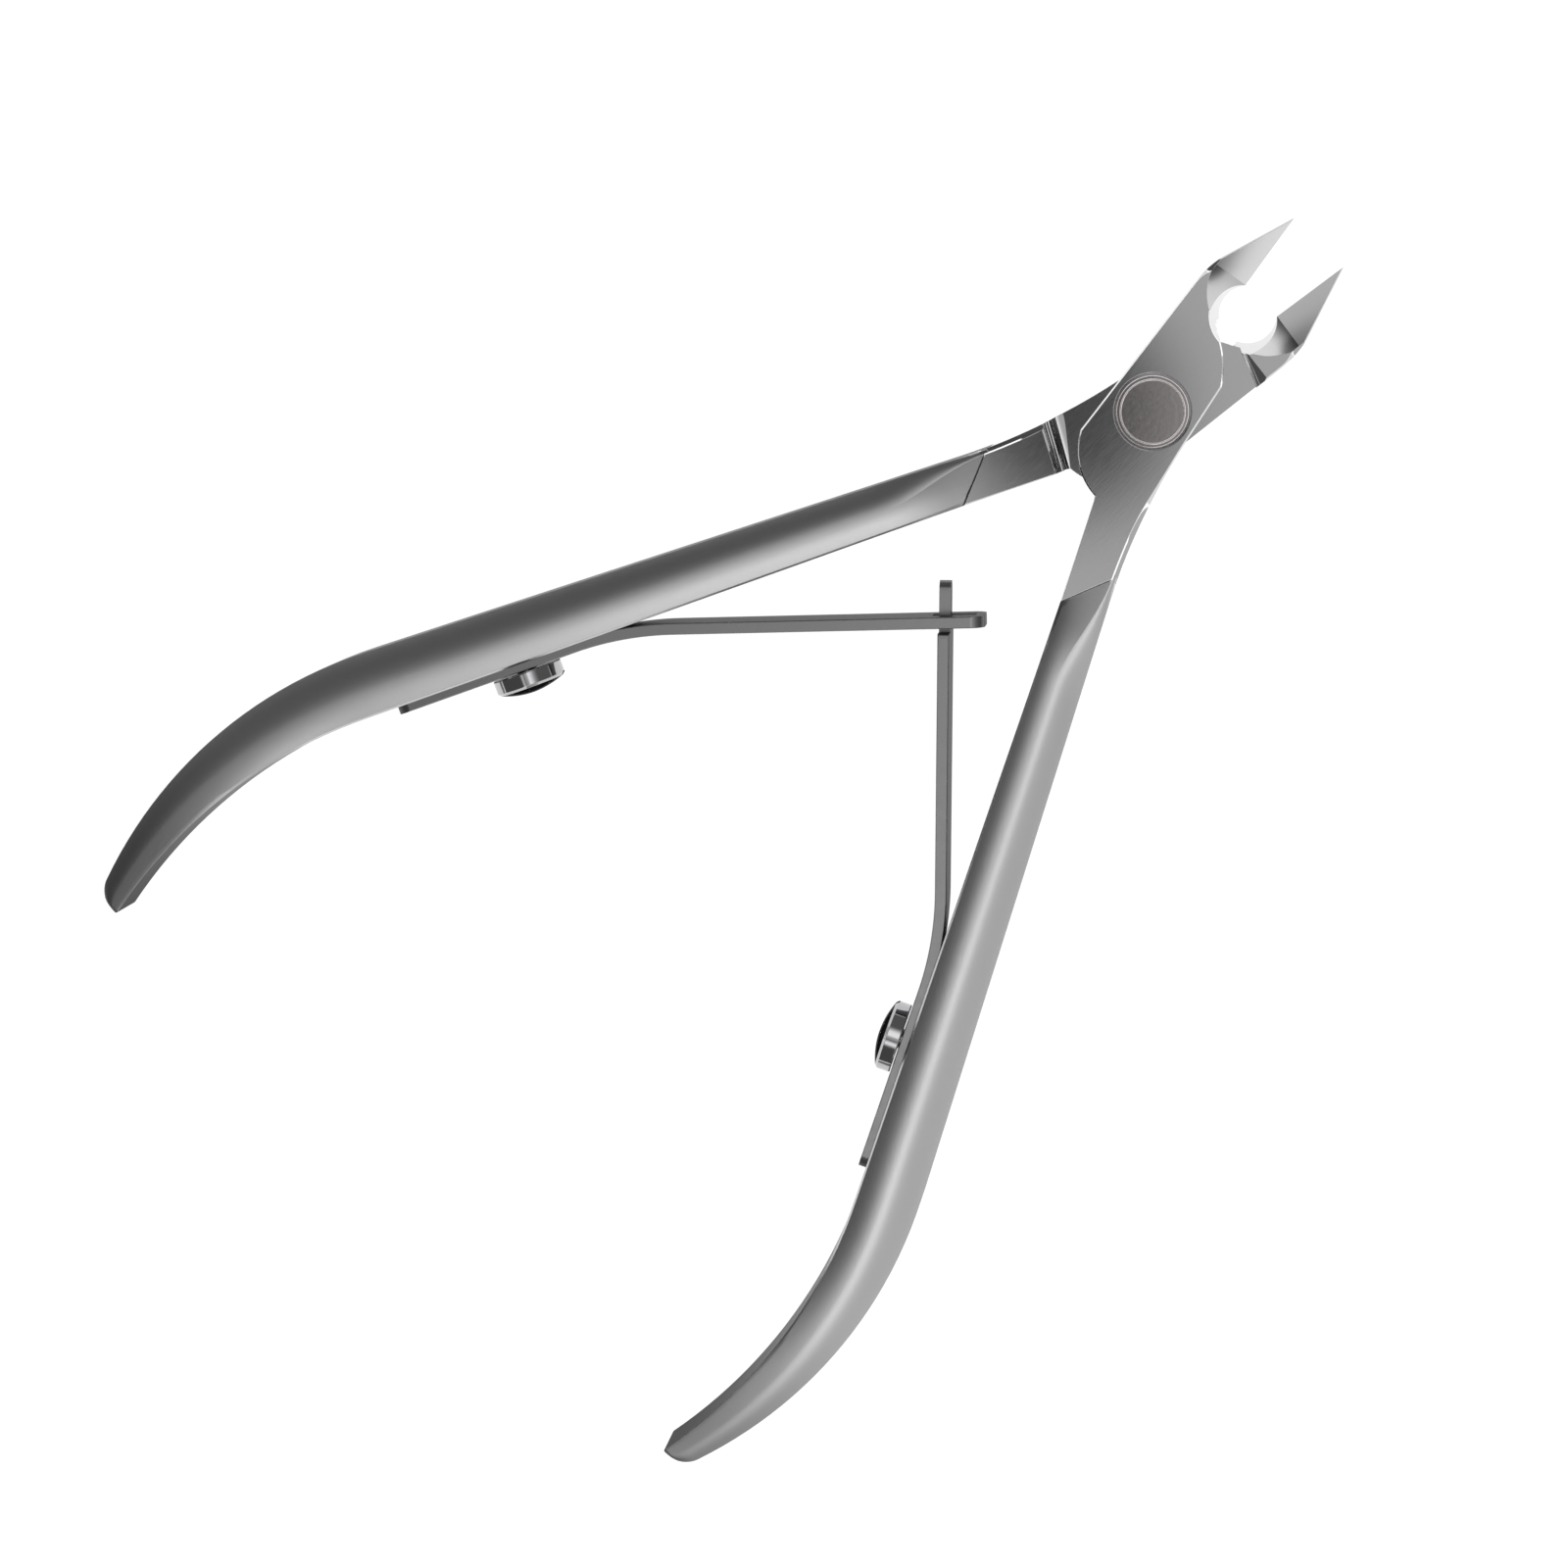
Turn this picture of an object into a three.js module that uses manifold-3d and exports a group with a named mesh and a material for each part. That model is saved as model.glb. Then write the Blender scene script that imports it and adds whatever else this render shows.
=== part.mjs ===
// Cuticle nippers: two forged halves that cross at a lap joint, one flush pivot rivet,
// and a pair of interlocking leaf springs, each held to its handle by a domed screw.
// Millimetres. The pivot axis is Z through the origin, +X runs towards the blade tips,
// and the tool's symmetry axis is the line Y = 0. The back face of the joint is Z = 0.
// Each leaf spring is two solids, the root clamped to the handle and the arm that bends.

import * as THREE from "three";
import { mergeVertices } from "three/addons/utils/BufferGeometryUtils.js";
import Module from "manifold-3d";

const wasm = await Module();
wasm.setup();

const DEG = Math.PI / 180;

// Joint and plates
const PLATE = 6; // thickness of the tool at the joint
const MID_Z = PLATE / 2; // level of the lap faces
const LAP_GAP = 0.06; // running gap between the two lap faces
const OUTSIDE = 30; // reach of a cutter beyond the part

// Handles: edge lines seen from the front, as distances from the symmetry axis
const HANDLE_END_X = -95.2;
const END_CORNER_R = 1.6;
const INNER_LINE = { x: -10.2, y: 2.575, angle: 25.84 * DEG };
const INNER_BEND = { x: -66.6, radius: 47 };
const OUTER_LINE = { x: -14.5, y: 9.04, angle: 27.46 * DEG };
const OUTER_BEND = { x: -62.4, radius: 41 };
const SHOULDER_R = 58; // concave run of the outer edge into the joint
const HANDLE_START_X = -12;
const MORPH_END_X = -27; // the boxy root has become the D section here
const FLAT_END = { innerX: -16.8, outerX: -12.4 }; // oblique end of the ground flat

// Handle section, as half heights about the mid plane
const D_SECTION = { ridge: 0.42, crown: 3.35, innerWall: 2.9, outerWall: 2.0 };
const BOX_SECTION = { ridge: 0.9, crown: 2.97, innerWall: 2.9, outerWall: 2.6 };
const END_SLIMMING = 0.2; // share of the depth lost by the handle's end

// Joint outline of the front half
const JAW_BULGE = { startX: 13.6, startY: 4.77, peakX: 12.0, peakY: 5.31, endX: 10.0, endY: 5.07 };
const HANDLE_SIDE_BOSS = { x: -2.8, y: -1.8, radius: 5.6, from: 116 * DEG, to: 177 * DEG };
const JAW_SIDE_BOSS = { x: 1.1, y: 4.05, radius: 8.0, from: -57 * DEG, to: -22.8 * DEG };
const INNER_CORNER = { x: -8.75, y: -1.77 };

// Blades
const TIP = { x: 19.6, y: 2.93 };
const EDGE_ANGLE = 8.4 * DEG; // each cutting edge lies on this radius of the pivot at rest
const EDGE_Z = 0.3; // level of the cutting edges
const CUSP_X = 12.75;
const FACET_SLOPE = 61.5 * DEG;
const SCOOP = { radius: 4.8, start: 13.15 };
const THROAT = { x: 11.15, bottomR: 2.42, topR: 3.15 };

// Steps that give the lap plates room to swing, for the front half
const JAW_STEP = [new THREE.Vector2(9.0, 0.89), new THREE.Vector2(7.5, 4.54)];
const HANDLE_STEP_FOOT = [new THREE.Vector2(-8.54, -1.38), new THREE.Vector2(-6.52, -4.86)];
const HANDLE_STEP_TOP = [new THREE.Vector2(-9.13, -2.26), new THREE.Vector2(-7.32, -5.66)];

// Lower corner cut off the front half's jaw step, which would meet the back half's throat
const CORNER_RELIEF = { topZ: 2, outline: [[8.4, 0.5], [9.9, 0.5], [9.7, 1.1], [9.0, 1.56], [8.4, 2.2]] };

// Pivot rivet
const RIVET = { headR: 3.1, headH: 1.2, shankR: 1.7, tailR: 2.5, tailH: 0.7, clearance: 0.08 };

// Facets of round surfaces
const ROUND_SIDES = 48;
const CURVE_STEPS = 12;
const CROWN_STEPS = 6;
const BEND_SIDES = 8;
const BEND_STEP = 2.9;

// Leaf springs, for the slotted leaf on the +Y side
const LEAF = { thick: 1.0, width: 5.0, seatGap: 0.1, bendR: 28, armAngle: 43.9 * DEG };
const LEAF_TURN = LEAF.armAngle - INNER_LINE.angle;
const SEAT = { depth: 0.4, width: 5.2, endGap: 0.3, pastBendStart: 5.6 }; // milled into the handle
const LEAF_OFFSET = LEAF.seatGap + LEAF.thick / 2 - SEAT.depth; // handle's edge to centre of leaf
const CROSSING_X = -25.1; // where the two arms cross on the symmetry axis
const ROOT_LENGTH = 16.7; // from the root's end to the start of the bend
const SCREW_BACK = 5.1; // from the screw to the start of the bend
const ARM_PAST_CROSSING = 3.46;
const ARM_HINGE_S = LEAF.bendR * 11 * DEG; // from the start of the bend to the arm's hinge line
const ROOT_ARM_GAP = 0.3;
const SLOT = { width: 2.0, before: 1.05, after: 2.7 };
const TONGUE = { width: 1.6, before: 0.95, shoulderR: 0.2 };
const LEAF_CORNER_R = 1.3;
const PLAN_REACH = 3; // reach of a leaf's flat plan to each side of its plane

// Spring screws
const SCREW = { headR: 3.1, rimH: 1.4, domeH: 0.6, shankR: 0.9, length: 3.8, seatGap: 0.1 };
const SCREW_HOLE = { radius: 1.2, depth: 3.1 };
const DRIVE_SLOT = { width: 0.8, depth: 0.9 };

const STEEL = { color: 0x9a9a9c, roughness: 0.35, metalness: 1 };
const POLISHED = { color: 0xb0b0b2, roughness: 0.12, metalness: 1 };
const CHROME = { color: 0xc8c8ca, roughness: 0.08, metalness: 1 };

// ---- Solids -------------------------------------------------------------------------------

// A manifold solid from a closed geometry, with its shared vertices merged
function solidOf(geometry) {
  const bare = geometry.clone();
  bare.deleteAttribute("normal");
  bare.deleteAttribute("uv");
  const merged = mergeVertices(bare, 1e-5);
  const all = Array.from(merged.index.array);
  const kept = [];
  for (let i = 0; i < all.length; i += 3) {
    const [a, b, c] = all.slice(i, i + 3);
    if (a !== b && b !== c && c !== a) kept.push(a, b, c);
  }
  return new wasm.Manifold(new wasm.Mesh({
    numProp: 3,
    vertProperties: new Float32Array(merged.attributes.position.array),
    triVerts: new Uint32Array(kept),
  }));
}

function geometryOf(solid) {
  const mesh = solid.getMesh();
  const geometry = new THREE.BufferGeometry();
  geometry.setAttribute("position", new THREE.BufferAttribute(new Float32Array(mesh.vertProperties), 3));
  geometry.setIndex(new THREE.BufferAttribute(new Uint32Array(mesh.triVerts), 1));
  return geometry;
}

function placed(solid, matrix) {
  return solidOf(geometryOf(solid).applyMatrix4(matrix));
}

// The same solid on the other side of the plane y = 0
function mirroredInY(solid) {
  const geometry = geometryOf(solid).applyMatrix4(new THREE.Matrix4().makeScale(1, -1, 1));
  const index = geometry.index.array;
  for (let i = 0; i < index.length; i += 3) {
    [index[i], index[i + 1]] = [index[i + 1], index[i]];
  }
  return solidOf(geometry);
}

function prism(shape, bottomZ, topZ) {
  const settings = { depth: topZ - bottomZ, bevelEnabled: false, curveSegments: CURVE_STEPS };
  return solidOf(new THREE.ExtrudeGeometry(shape, settings).translate(0, 0, bottomZ));
}

// A solid of revolution about the Z axis, from [radius, z] points that start and end on the axis
function turned(profile) {
  const points = profile.map(([radius, z]) => new THREE.Vector2(radius, z));
  return solidOf(new THREE.LatheGeometry(points, ROUND_SIDES).rotateX(Math.PI / 2));
}

// A solid through convex rings of points, each ring with the same number of points,
// anticlockwise about the direction from the first ring to the last
function loft(rings) {
  const count = rings[0].length;
  const positions = rings.flat().flatMap((point) => [point.x, point.y, point.z]);
  const index = [];
  for (let r = 0; r + 1 < rings.length; r += 1) {
    for (let i = 0; i < count; i += 1) {
      const a = r * count + i;
      const b = r * count + ((i + 1) % count);
      index.push(a, b, b + count, a, b + count, a + count);
    }
  }
  const last = (rings.length - 1) * count;
  for (let i = 1; i + 1 < count; i += 1) {
    index.push(0, i + 1, i);
    index.push(last, last + i, last + i + 1);
  }
  const geometry = new THREE.BufferGeometry();
  geometry.setAttribute("position", new THREE.Float32BufferAttribute(positions, 3));
  geometry.setIndex(index);
  return solidOf(geometry);
}

function polygonLoft(bottom, bottomZ, top, topZ) {
  return loft([
    bottom.map((point) => new THREE.Vector3(point.x, point.y, bottomZ)),
    top.map((point) => new THREE.Vector3(point.x, point.y, topZ)),
  ]);
}

// ---- Handle, on the -Y side ---------------------------------------------------------------

function lineY(line, x) {
  return line.y + Math.tan(line.angle) * (line.x - x);
}

// Distance from the axis of an edge that is straight and then curves back towards the axis
function bentEdge(line, bend, x) {
  if (x > bend.x) return lineY(line, x);
  const centreX = bend.x - bend.radius * Math.sin(line.angle);
  const centreY = lineY(line, bend.x) - bend.radius * Math.cos(line.angle);
  return centreY + Math.sqrt(bend.radius ** 2 - (x - centreX) ** 2);
}

function innerEdge(x) {
  return bentEdge(INNER_LINE, INNER_BEND, x);
}

function outerEdge(x) {
  if (x > OUTER_LINE.x) {
    const centreX = OUTER_LINE.x + SHOULDER_R * Math.sin(OUTER_LINE.angle);
    const centreY = OUTER_LINE.y + SHOULDER_R * Math.cos(OUTER_LINE.angle);
    return centreY - Math.sqrt(SHOULDER_R ** 2 - (x - centreX) ** 2);
  }
  const intoCorner = Math.max(0, END_CORNER_R - (x - HANDLE_END_X));
  const corner = END_CORNER_R - Math.sqrt(END_CORNER_R ** 2 - intoCorner ** 2);
  return bentEdge(OUTER_LINE, OUTER_BEND, x) - corner;
}

// One ring of the handle, in the plane of constant x
function handleRing(x) {
  const blend = THREE.MathUtils.smoothstep(-x, -HANDLE_START_X, -MORPH_END_X);
  const mix = (key) => THREE.MathUtils.lerp(BOX_SECTION[key], D_SECTION[key], blend);
  const [ridge, crown, innerWall, outerWall] = ["ridge", "crown", "innerWall", "outerWall"].map(mix);
  const slimmer = 1 - END_SLIMMING * THREE.MathUtils.smoothstep(-x, -OUTER_BEND.x, -HANDLE_END_X);
  const half = [];
  for (const step of [0, 1 / 3, 2 / 3]) {
    half.push([ridge * step, crown - (crown - innerWall) * (1 - step) ** 2]);
  }
  for (let i = 0; i <= CROWN_STEPS; i += 1) {
    const step = i / CROWN_STEPS;
    half.push([ridge + (1 - ridge) * step, crown - (crown - outerWall) * step ** 2]);
  }
  const inner = innerEdge(x);
  const across = outerEdge(x) - inner;
  const place = (side) => ([u, h]) => new THREE.Vector3(x, -(inner + u * across), MID_Z + side * h * slimmer);
  return [...half.map(place(-1)), ...half.map(place(1)).reverse()];
}

function handle() {
  const stations = [HANDLE_START_X, -14.5, -16.5, -19, -21.5, -24, MORPH_END_X, -40, -52];
  for (let x = OUTER_BEND.x; x > HANDLE_END_X + END_CORNER_R; x -= BEND_STEP) {
    stations.push(x);
  }
  for (const part of [1, 0.5, 0.2, 0]) {
    stations.push(HANDLE_END_X + part * END_CORNER_R);
  }
  return loft(stations.map(handleRing));
}

// ---- Halves -------------------------------------------------------------------------------

// Plan of the front half, from the blade tip to the end of the ground flat on the handle
function headOutline() {
  const shape = new THREE.Shape();
  const addArc = ({ x, y, radius, from, to }) => shape.absarc(x, y, radius, from, to, false);
  shape.moveTo(TIP.x, TIP.y);
  shape.lineTo(JAW_BULGE.startX, JAW_BULGE.startY);
  shape.quadraticCurveTo(JAW_BULGE.peakX, JAW_BULGE.peakY, JAW_BULGE.endX, JAW_BULGE.endY);
  addArc(HANDLE_SIDE_BOSS);
  shape.lineTo(INNER_CORNER.x, INNER_CORNER.y);
  shape.lineTo(FLAT_END.innerX, -innerEdge(FLAT_END.innerX));
  shape.lineTo(FLAT_END.outerX, -outerEdge(FLAT_END.outerX));
  for (let x = -10; x <= 0; x += 2) {
    shape.lineTo(x, -outerEdge(x));
  }
  addArc(JAW_SIDE_BOSS);
  shape.lineTo(THROAT.x, JAW_STEP[0].y);
  shape.lineTo(CUSP_X, CUSP_X * Math.tan(EDGE_ANGLE));
  shape.closePath();
  return shape;
}

function along([start, end], distance) {
  const direction = end.clone().sub(start).normalize();
  return start.clone().addScaledVector(direction, distance);
}

// The room under the front half's lap plate, between its jaw step and its sloped handle step
function lapPocket() {
  const outline = (step) => [
    along(JAW_STEP, -2.5),
    along(JAW_STEP, 8),
    new THREE.Vector2(-11, along(JAW_STEP, 8).y),
    along(step, -3),
    along(step, 7),
    new THREE.Vector2(along(JAW_STEP, -2.5).x, -9),
  ];
  const topZ = MID_Z + LAP_GAP / 2;
  const overshoot = 1.1;
  const face = HANDLE_STEP_FOOT.map((foot, i) => foot.clone().lerp(HANDLE_STEP_TOP[i], overshoot));
  return polygonLoft(outline(face), topZ - MID_Z * overshoot, outline(HANDLE_STEP_FOOT), topZ);
}

// The grinding cut over the front blade: a plane rising outwards from the cutting edge,
// ending towards the joint in a cylindrical scoop
function bladeCut() {
  const { radius, start } = SCOOP;
  const profile = new THREE.Shape();
  profile.moveTo(start - radius, OUTSIDE);
  profile.lineTo(start - radius, radius);
  profile.absarc(start, radius, radius, Math.PI, 1.5 * Math.PI, false);
  profile.lineTo(OUTSIDE, 0);
  profile.lineTo(OUTSIDE, OUTSIDE);
  profile.closePath();
  const radial = new THREE.Vector3(Math.cos(EDGE_ANGLE), Math.sin(EDGE_ANGLE), 0);
  const outward = new THREE.Vector3(-Math.sin(EDGE_ANGLE), Math.cos(EDGE_ANGLE), 0);
  const normal = new THREE.Vector3(0, 0, Math.cos(FACET_SLOPE));
  normal.addScaledVector(outward, -Math.sin(FACET_SLOPE));
  const downSlope = radial.clone().cross(normal);
  const frame = new THREE.Matrix4().makeBasis(radial, normal, downSlope);
  frame.setPosition(downSlope.clone().multiplyScalar(-OUTSIDE / 2).add(new THREE.Vector3(0, 0, EDGE_Z)));
  return placed(prism(profile, 0, OUTSIDE), frame);
}

// The conical throat between the blades and the joint, wider at the front
function throatCut() {
  const slope = (THROAT.topR - THROAT.bottomR) / PLATE;
  const ends = [-1, PLATE + 1].map((z) => [THROAT.bottomR + slope * z, z]);
  const cone = turned([[0, ends[0][1]], ...ends, [0, ends[1][1]]]);
  return placed(cone, new THREE.Matrix4().makeTranslation(THROAT.x, 0, 0));
}

// Joint and handle of the front half with the spring's mounting, before the joint is cut
function uncutBody() {
  const depth = SCREW_HOLE.depth;
  const hole = turned([[0, -depth], [SCREW_HOLE.radius, -depth], [SCREW_HOLE.radius, 1], [0, 1]]);
  const mounting = placed(hole.add(leafSeat()), screwPlace(-LEAF.seatGap - LEAF.thick / 2));
  return prism(headOutline(), 0, PLATE).add(handle()).subtract(mirroredInY(mounting));
}

// The shallow seat for the leaf's root, in the frame of its screw
function leafSeat() {
  const from = SCREW_BACK - ROOT_LENGTH - SEAT.endGap;
  const to = SCREW_BACK + SEAT.pastBendStart;
  const seat = new THREE.BoxGeometry(to - from, SEAT.width, LEAF.width);
  return solidOf(seat.translate((from + to) / 2, 0, LEAF.width / 2));
}

// Bore for the rivet, with a wider seat from seatZ to the nearer face
function rivetBore(seatR, seatZ, atFront) {
  const shankR = RIVET.shankR + RIVET.clearance;
  const wideR = seatR + RIVET.clearance;
  const radii = atFront ? [shankR, wideR] : [wideR, shankR];
  const high = PLATE + 1;
  return turned([[0, -1], [radii[0], -1], [radii[0], seatZ], [radii[1], seatZ], [radii[1], high], [0, high]]);
}

function cutAll(solid, cuts) {
  return cuts.reduce((left, cut) => left.subtract(cut), solid);
}

function frontHalf() {
  const bore = rivetBore(RIVET.headR, PLATE - RIVET.headH, true);
  const corner = new THREE.Shape(CORNER_RELIEF.outline.map(([x, y]) => new THREE.Vector2(x, y)));
  const relief = prism(corner, -1, CORNER_RELIEF.topZ);
  return cutAll(uncutBody(), [lapPocket(), throatCut(), bladeCut(), bore, relief]);
}

// The back half is the front half turned over about the symmetry axis, but its blade is
// the front blade's mirror image, so that the two cutting edges meet
function backHalf() {
  const turnOver = new THREE.Matrix4().makeRotationX(Math.PI).setPosition(0, 0, PLATE);
  const bore = rivetBore(RIVET.tailR, RIVET.tailH, false);
  const cuts = [placed(lapPocket(), turnOver), throatCut(), mirroredInY(bladeCut()), bore];
  return cutAll(placed(uncutBody(), turnOver), cuts);
}

function rivet() {
  const tailTop = RIVET.tailH - RIVET.clearance;
  const headBottom = PLATE - RIVET.headH + RIVET.clearance;
  return turned([[0, 0], [RIVET.tailR, 0], [RIVET.tailR, tailTop], [RIVET.shankR, tailTop],
    [RIVET.shankR, headBottom], [RIVET.headR, headBottom], [RIVET.headR, PLATE], [0, PLATE]]);
}

// ---- Leaf springs, on the +Y side ---------------------------------------------------------
// A length s runs along the leaf's centre line from the start of its bend towards the crossing,
// and is negative on the straight root.

function unitAt(angle) {
  return new THREE.Vector3(Math.cos(angle), -Math.sin(angle), 0);
}

// Start of the bend, placed so that the straight arm meets the crossing
function bendStart() {
  const seatY = lineY(INNER_LINE, CROSSING_X) - LEAF_OFFSET / Math.cos(INNER_LINE.angle);
  const cornerX = CROSSING_X - seatY / (Math.tan(LEAF.armAngle) - Math.tan(INNER_LINE.angle));
  const cornerY = (CROSSING_X - cornerX) * Math.tan(LEAF.armAngle);
  const corner = new THREE.Vector3(cornerX, cornerY, MID_Z);
  return corner.addScaledVector(unitAt(INNER_LINE.angle), -LEAF.bendR * Math.tan(LEAF_TURN / 2));
}

// Unit vector across the leaf at s, pointing away from the handle
function leafNormal(s) {
  const angle = INNER_LINE.angle + THREE.MathUtils.clamp(s / LEAF.bendR, 0, LEAF_TURN);
  return new THREE.Vector3(-Math.sin(angle), -Math.cos(angle), 0);
}

// Point of the leaf at s, offset from its centre line away from the handle
function leafPoint(s, offset) {
  const point = bendStart().addScaledVector(unitAt(INNER_LINE.angle), Math.min(s, 0));
  point.addScaledVector(leafNormal(0), LEAF.bendR).addScaledVector(leafNormal(s), -LEAF.bendR);
  point.addScaledVector(unitAt(LEAF.armAngle), Math.max(0, s - LEAF.bendR * LEAF_TURN));
  return point.addScaledVector(leafNormal(s), offset);
}

function crossingLength() {
  const bendLength = LEAF.bendR * LEAF_TURN;
  return bendLength + leafPoint(bendLength, 0).distanceTo(new THREE.Vector3(CROSSING_X, 0, MID_Z));
}

// The leaf at full width between two lengths, extruded from its side view
function leafStrip(from, to) {
  const lengths = [from, to];
  for (let i = 0; i <= BEND_SIDES; i += 1) {
    const s = (LEAF.bendR * LEAF_TURN * i) / BEND_SIDES;
    if (s > from && s < to) lengths.push(s);
  }
  lengths.sort((a, b) => a - b);
  const near = lengths.map((s) => leafPoint(s, -LEAF.thick / 2));
  const far = lengths.map((s) => leafPoint(s, LEAF.thick / 2)).reverse();
  const side = new THREE.Shape([...near, ...far].map((point) => new THREE.Vector2(point.x, point.y)));
  return prism(side, MID_Z - LEAF.width / 2, MID_Z + LEAF.width / 2);
}

// A thick prism across the leaf from a plan drawn in the leaf's plane: x runs along
// the given direction from the length s, y is +Z
function leafPlan(plan, s, direction) {
  const up = new THREE.Vector3(0, 0, 1);
  const across = direction.clone().cross(up);
  const frame = new THREE.Matrix4().makeBasis(direction, up, across);
  return placed(prism(plan, -PLAN_REACH, PLAN_REACH), frame.setPosition(leafPoint(s, 0)));
}

// A long strip in plan that ends at x = length with rounded corners
function roundEndedPlan(length, halfWidth, cornerR) {
  const plan = new THREE.Shape();
  plan.moveTo(-OUTSIDE, halfWidth);
  plan.lineTo(-OUTSIDE, -halfWidth);
  plan.absarc(length - cornerR, cornerR - halfWidth, cornerR, -Math.PI / 2, 0, false);
  plan.absarc(length - cornerR, halfWidth - cornerR, cornerR, 0, Math.PI / 2, false);
  plan.closePath();
  return plan;
}

function leafRoot() {
  const plan = roundEndedPlan(ROOT_LENGTH, LEAF.width / 2, LEAF_CORNER_R);
  plan.holes.push(new THREE.Path().absarc(SCREW_BACK, 0, SCREW_HOLE.radius, 0, 2 * Math.PI, true));
  const strip = leafStrip(-ROOT_LENGTH, ARM_HINGE_S - ROOT_ARM_GAP / 2);
  return strip.intersect(leafPlan(plan, 0, unitAt(INNER_LINE.angle).negate()));
}

function leafArm(plan) {
  const crossing = crossingLength();
  const strip = leafStrip(ARM_HINGE_S + ROOT_ARM_GAP / 2, crossing + ARM_PAST_CROSSING);
  return strip.intersect(leafPlan(plan, crossing, unitAt(LEAF.armAngle)));
}

function slottedArm() {
  const plan = roundEndedPlan(ARM_PAST_CROSSING, LEAF.width / 2, LEAF_CORNER_R);
  const half = SLOT.width / 2;
  const corners = [[-SLOT.before, -half], [-SLOT.before, half], [SLOT.after, half], [SLOT.after, -half]];
  plan.holes.push(new THREE.Path(corners.map(([x, y]) => new THREE.Vector2(x, y))));
  return leafArm(plan);
}

function tongueArm() {
  const plan = roundEndedPlan(ARM_PAST_CROSSING, TONGUE.width / 2, TONGUE.width / 2);
  const shoulders = roundEndedPlan(-TONGUE.before, LEAF.width / 2, TONGUE.shoulderR);
  const strip = leafArm(plan);
  return strip.add(leafArm(shoulders));
}

// Frame of the spring screw: +Z points away from the handle, from a plane at the given
// offset from the leaf's centre line
function screwPlace(offset) {
  const away = leafNormal(-SCREW_BACK);
  const along = unitAt(INNER_LINE.angle);
  const frame = new THREE.Matrix4().makeBasis(along, away.clone().cross(along), away);
  return frame.setPosition(leafPoint(-SCREW_BACK, offset));
}

// Domed screw with a driver slot; its head rests on the leaf and its shank goes into the handle
function springScrew() {
  const { headR, rimH, domeH, shankR, length } = SCREW;
  const dome = [1, 0.8, 0.6, 0.4, 0.2].map((part) => [headR * part, rimH + domeH * (1 - part ** 2)]);
  const body = turned([[0, -length], [shankR, -length], [shankR, 0], [headR, 0], ...dome, [0, rimH + domeH]]);
  const slot = new THREE.BoxGeometry(3 * headR, DRIVE_SLOT.width, 2 * DRIVE_SLOT.depth);
  slot.translate(0, 0, rimH + domeH);
  return placed(body.subtract(solidOf(slot)), screwPlace(LEAF.thick / 2 + SCREW.seatGap));
}

// ---- Assembly -----------------------------------------------------------------------------

const group = new THREE.Group();

function addPart(name, solid, finish) {
  const mesh = new THREE.Mesh(geometryOf(solid), new THREE.MeshStandardMaterial(finish));
  mesh.name = name;
  group.add(mesh);
}

addPart("front_half", frontHalf(), STEEL);
addPart("back_half", backHalf(), STEEL);
addPart("pivot_rivet", rivet(), POLISHED);
addPart("slotted_leaf_root", leafRoot(), POLISHED);
addPart("slotted_leaf_arm", slottedArm(), POLISHED);
addPart("slotted_leaf_screw", springScrew(), CHROME);
addPart("tongue_leaf_root", mirroredInY(leafRoot()), POLISHED);
addPart("tongue_leaf_arm", mirroredInY(tongueArm()), POLISHED);
addPart("tongue_leaf_screw", mirroredInY(springScrew()), CHROME);

export default group;
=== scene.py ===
"""Looks of the cuticle nippers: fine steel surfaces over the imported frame, on a pale floor."""

import math

import bpy
from mathutils import Matrix, Vector


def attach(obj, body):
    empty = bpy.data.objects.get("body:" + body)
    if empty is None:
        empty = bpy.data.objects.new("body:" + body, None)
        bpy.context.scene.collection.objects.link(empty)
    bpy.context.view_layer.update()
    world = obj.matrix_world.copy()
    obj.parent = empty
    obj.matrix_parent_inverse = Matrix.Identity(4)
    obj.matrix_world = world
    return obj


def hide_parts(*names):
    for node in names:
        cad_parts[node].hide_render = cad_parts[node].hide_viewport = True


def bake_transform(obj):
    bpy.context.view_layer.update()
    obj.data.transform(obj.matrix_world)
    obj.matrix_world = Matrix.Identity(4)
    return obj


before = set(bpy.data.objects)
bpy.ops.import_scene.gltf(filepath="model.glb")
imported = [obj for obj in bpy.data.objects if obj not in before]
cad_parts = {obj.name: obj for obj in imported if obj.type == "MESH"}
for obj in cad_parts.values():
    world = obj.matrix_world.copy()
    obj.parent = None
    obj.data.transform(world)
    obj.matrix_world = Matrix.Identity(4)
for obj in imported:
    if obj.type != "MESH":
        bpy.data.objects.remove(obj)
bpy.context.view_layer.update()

# Lengths are in millimetres, in the frame's axes, and every piece is scaled to metres at the end.
MM = 0.001

# Joint and plates
PLATE = 6.0  # thickness of the tool at the joint
MID_Z = PLATE / 2
LAP_GAP = 0.06
OUTSIDE = 30.0  # reach of a cutter beyond the part
PAST_FACE = 1.0  # how far a turned cutter runs past the plate's faces
EDGE_CHAMFER = 0.14  # chamfer round the ground flats
LIP = 0.17  # chamfer where a cut meets a ground flat

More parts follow.
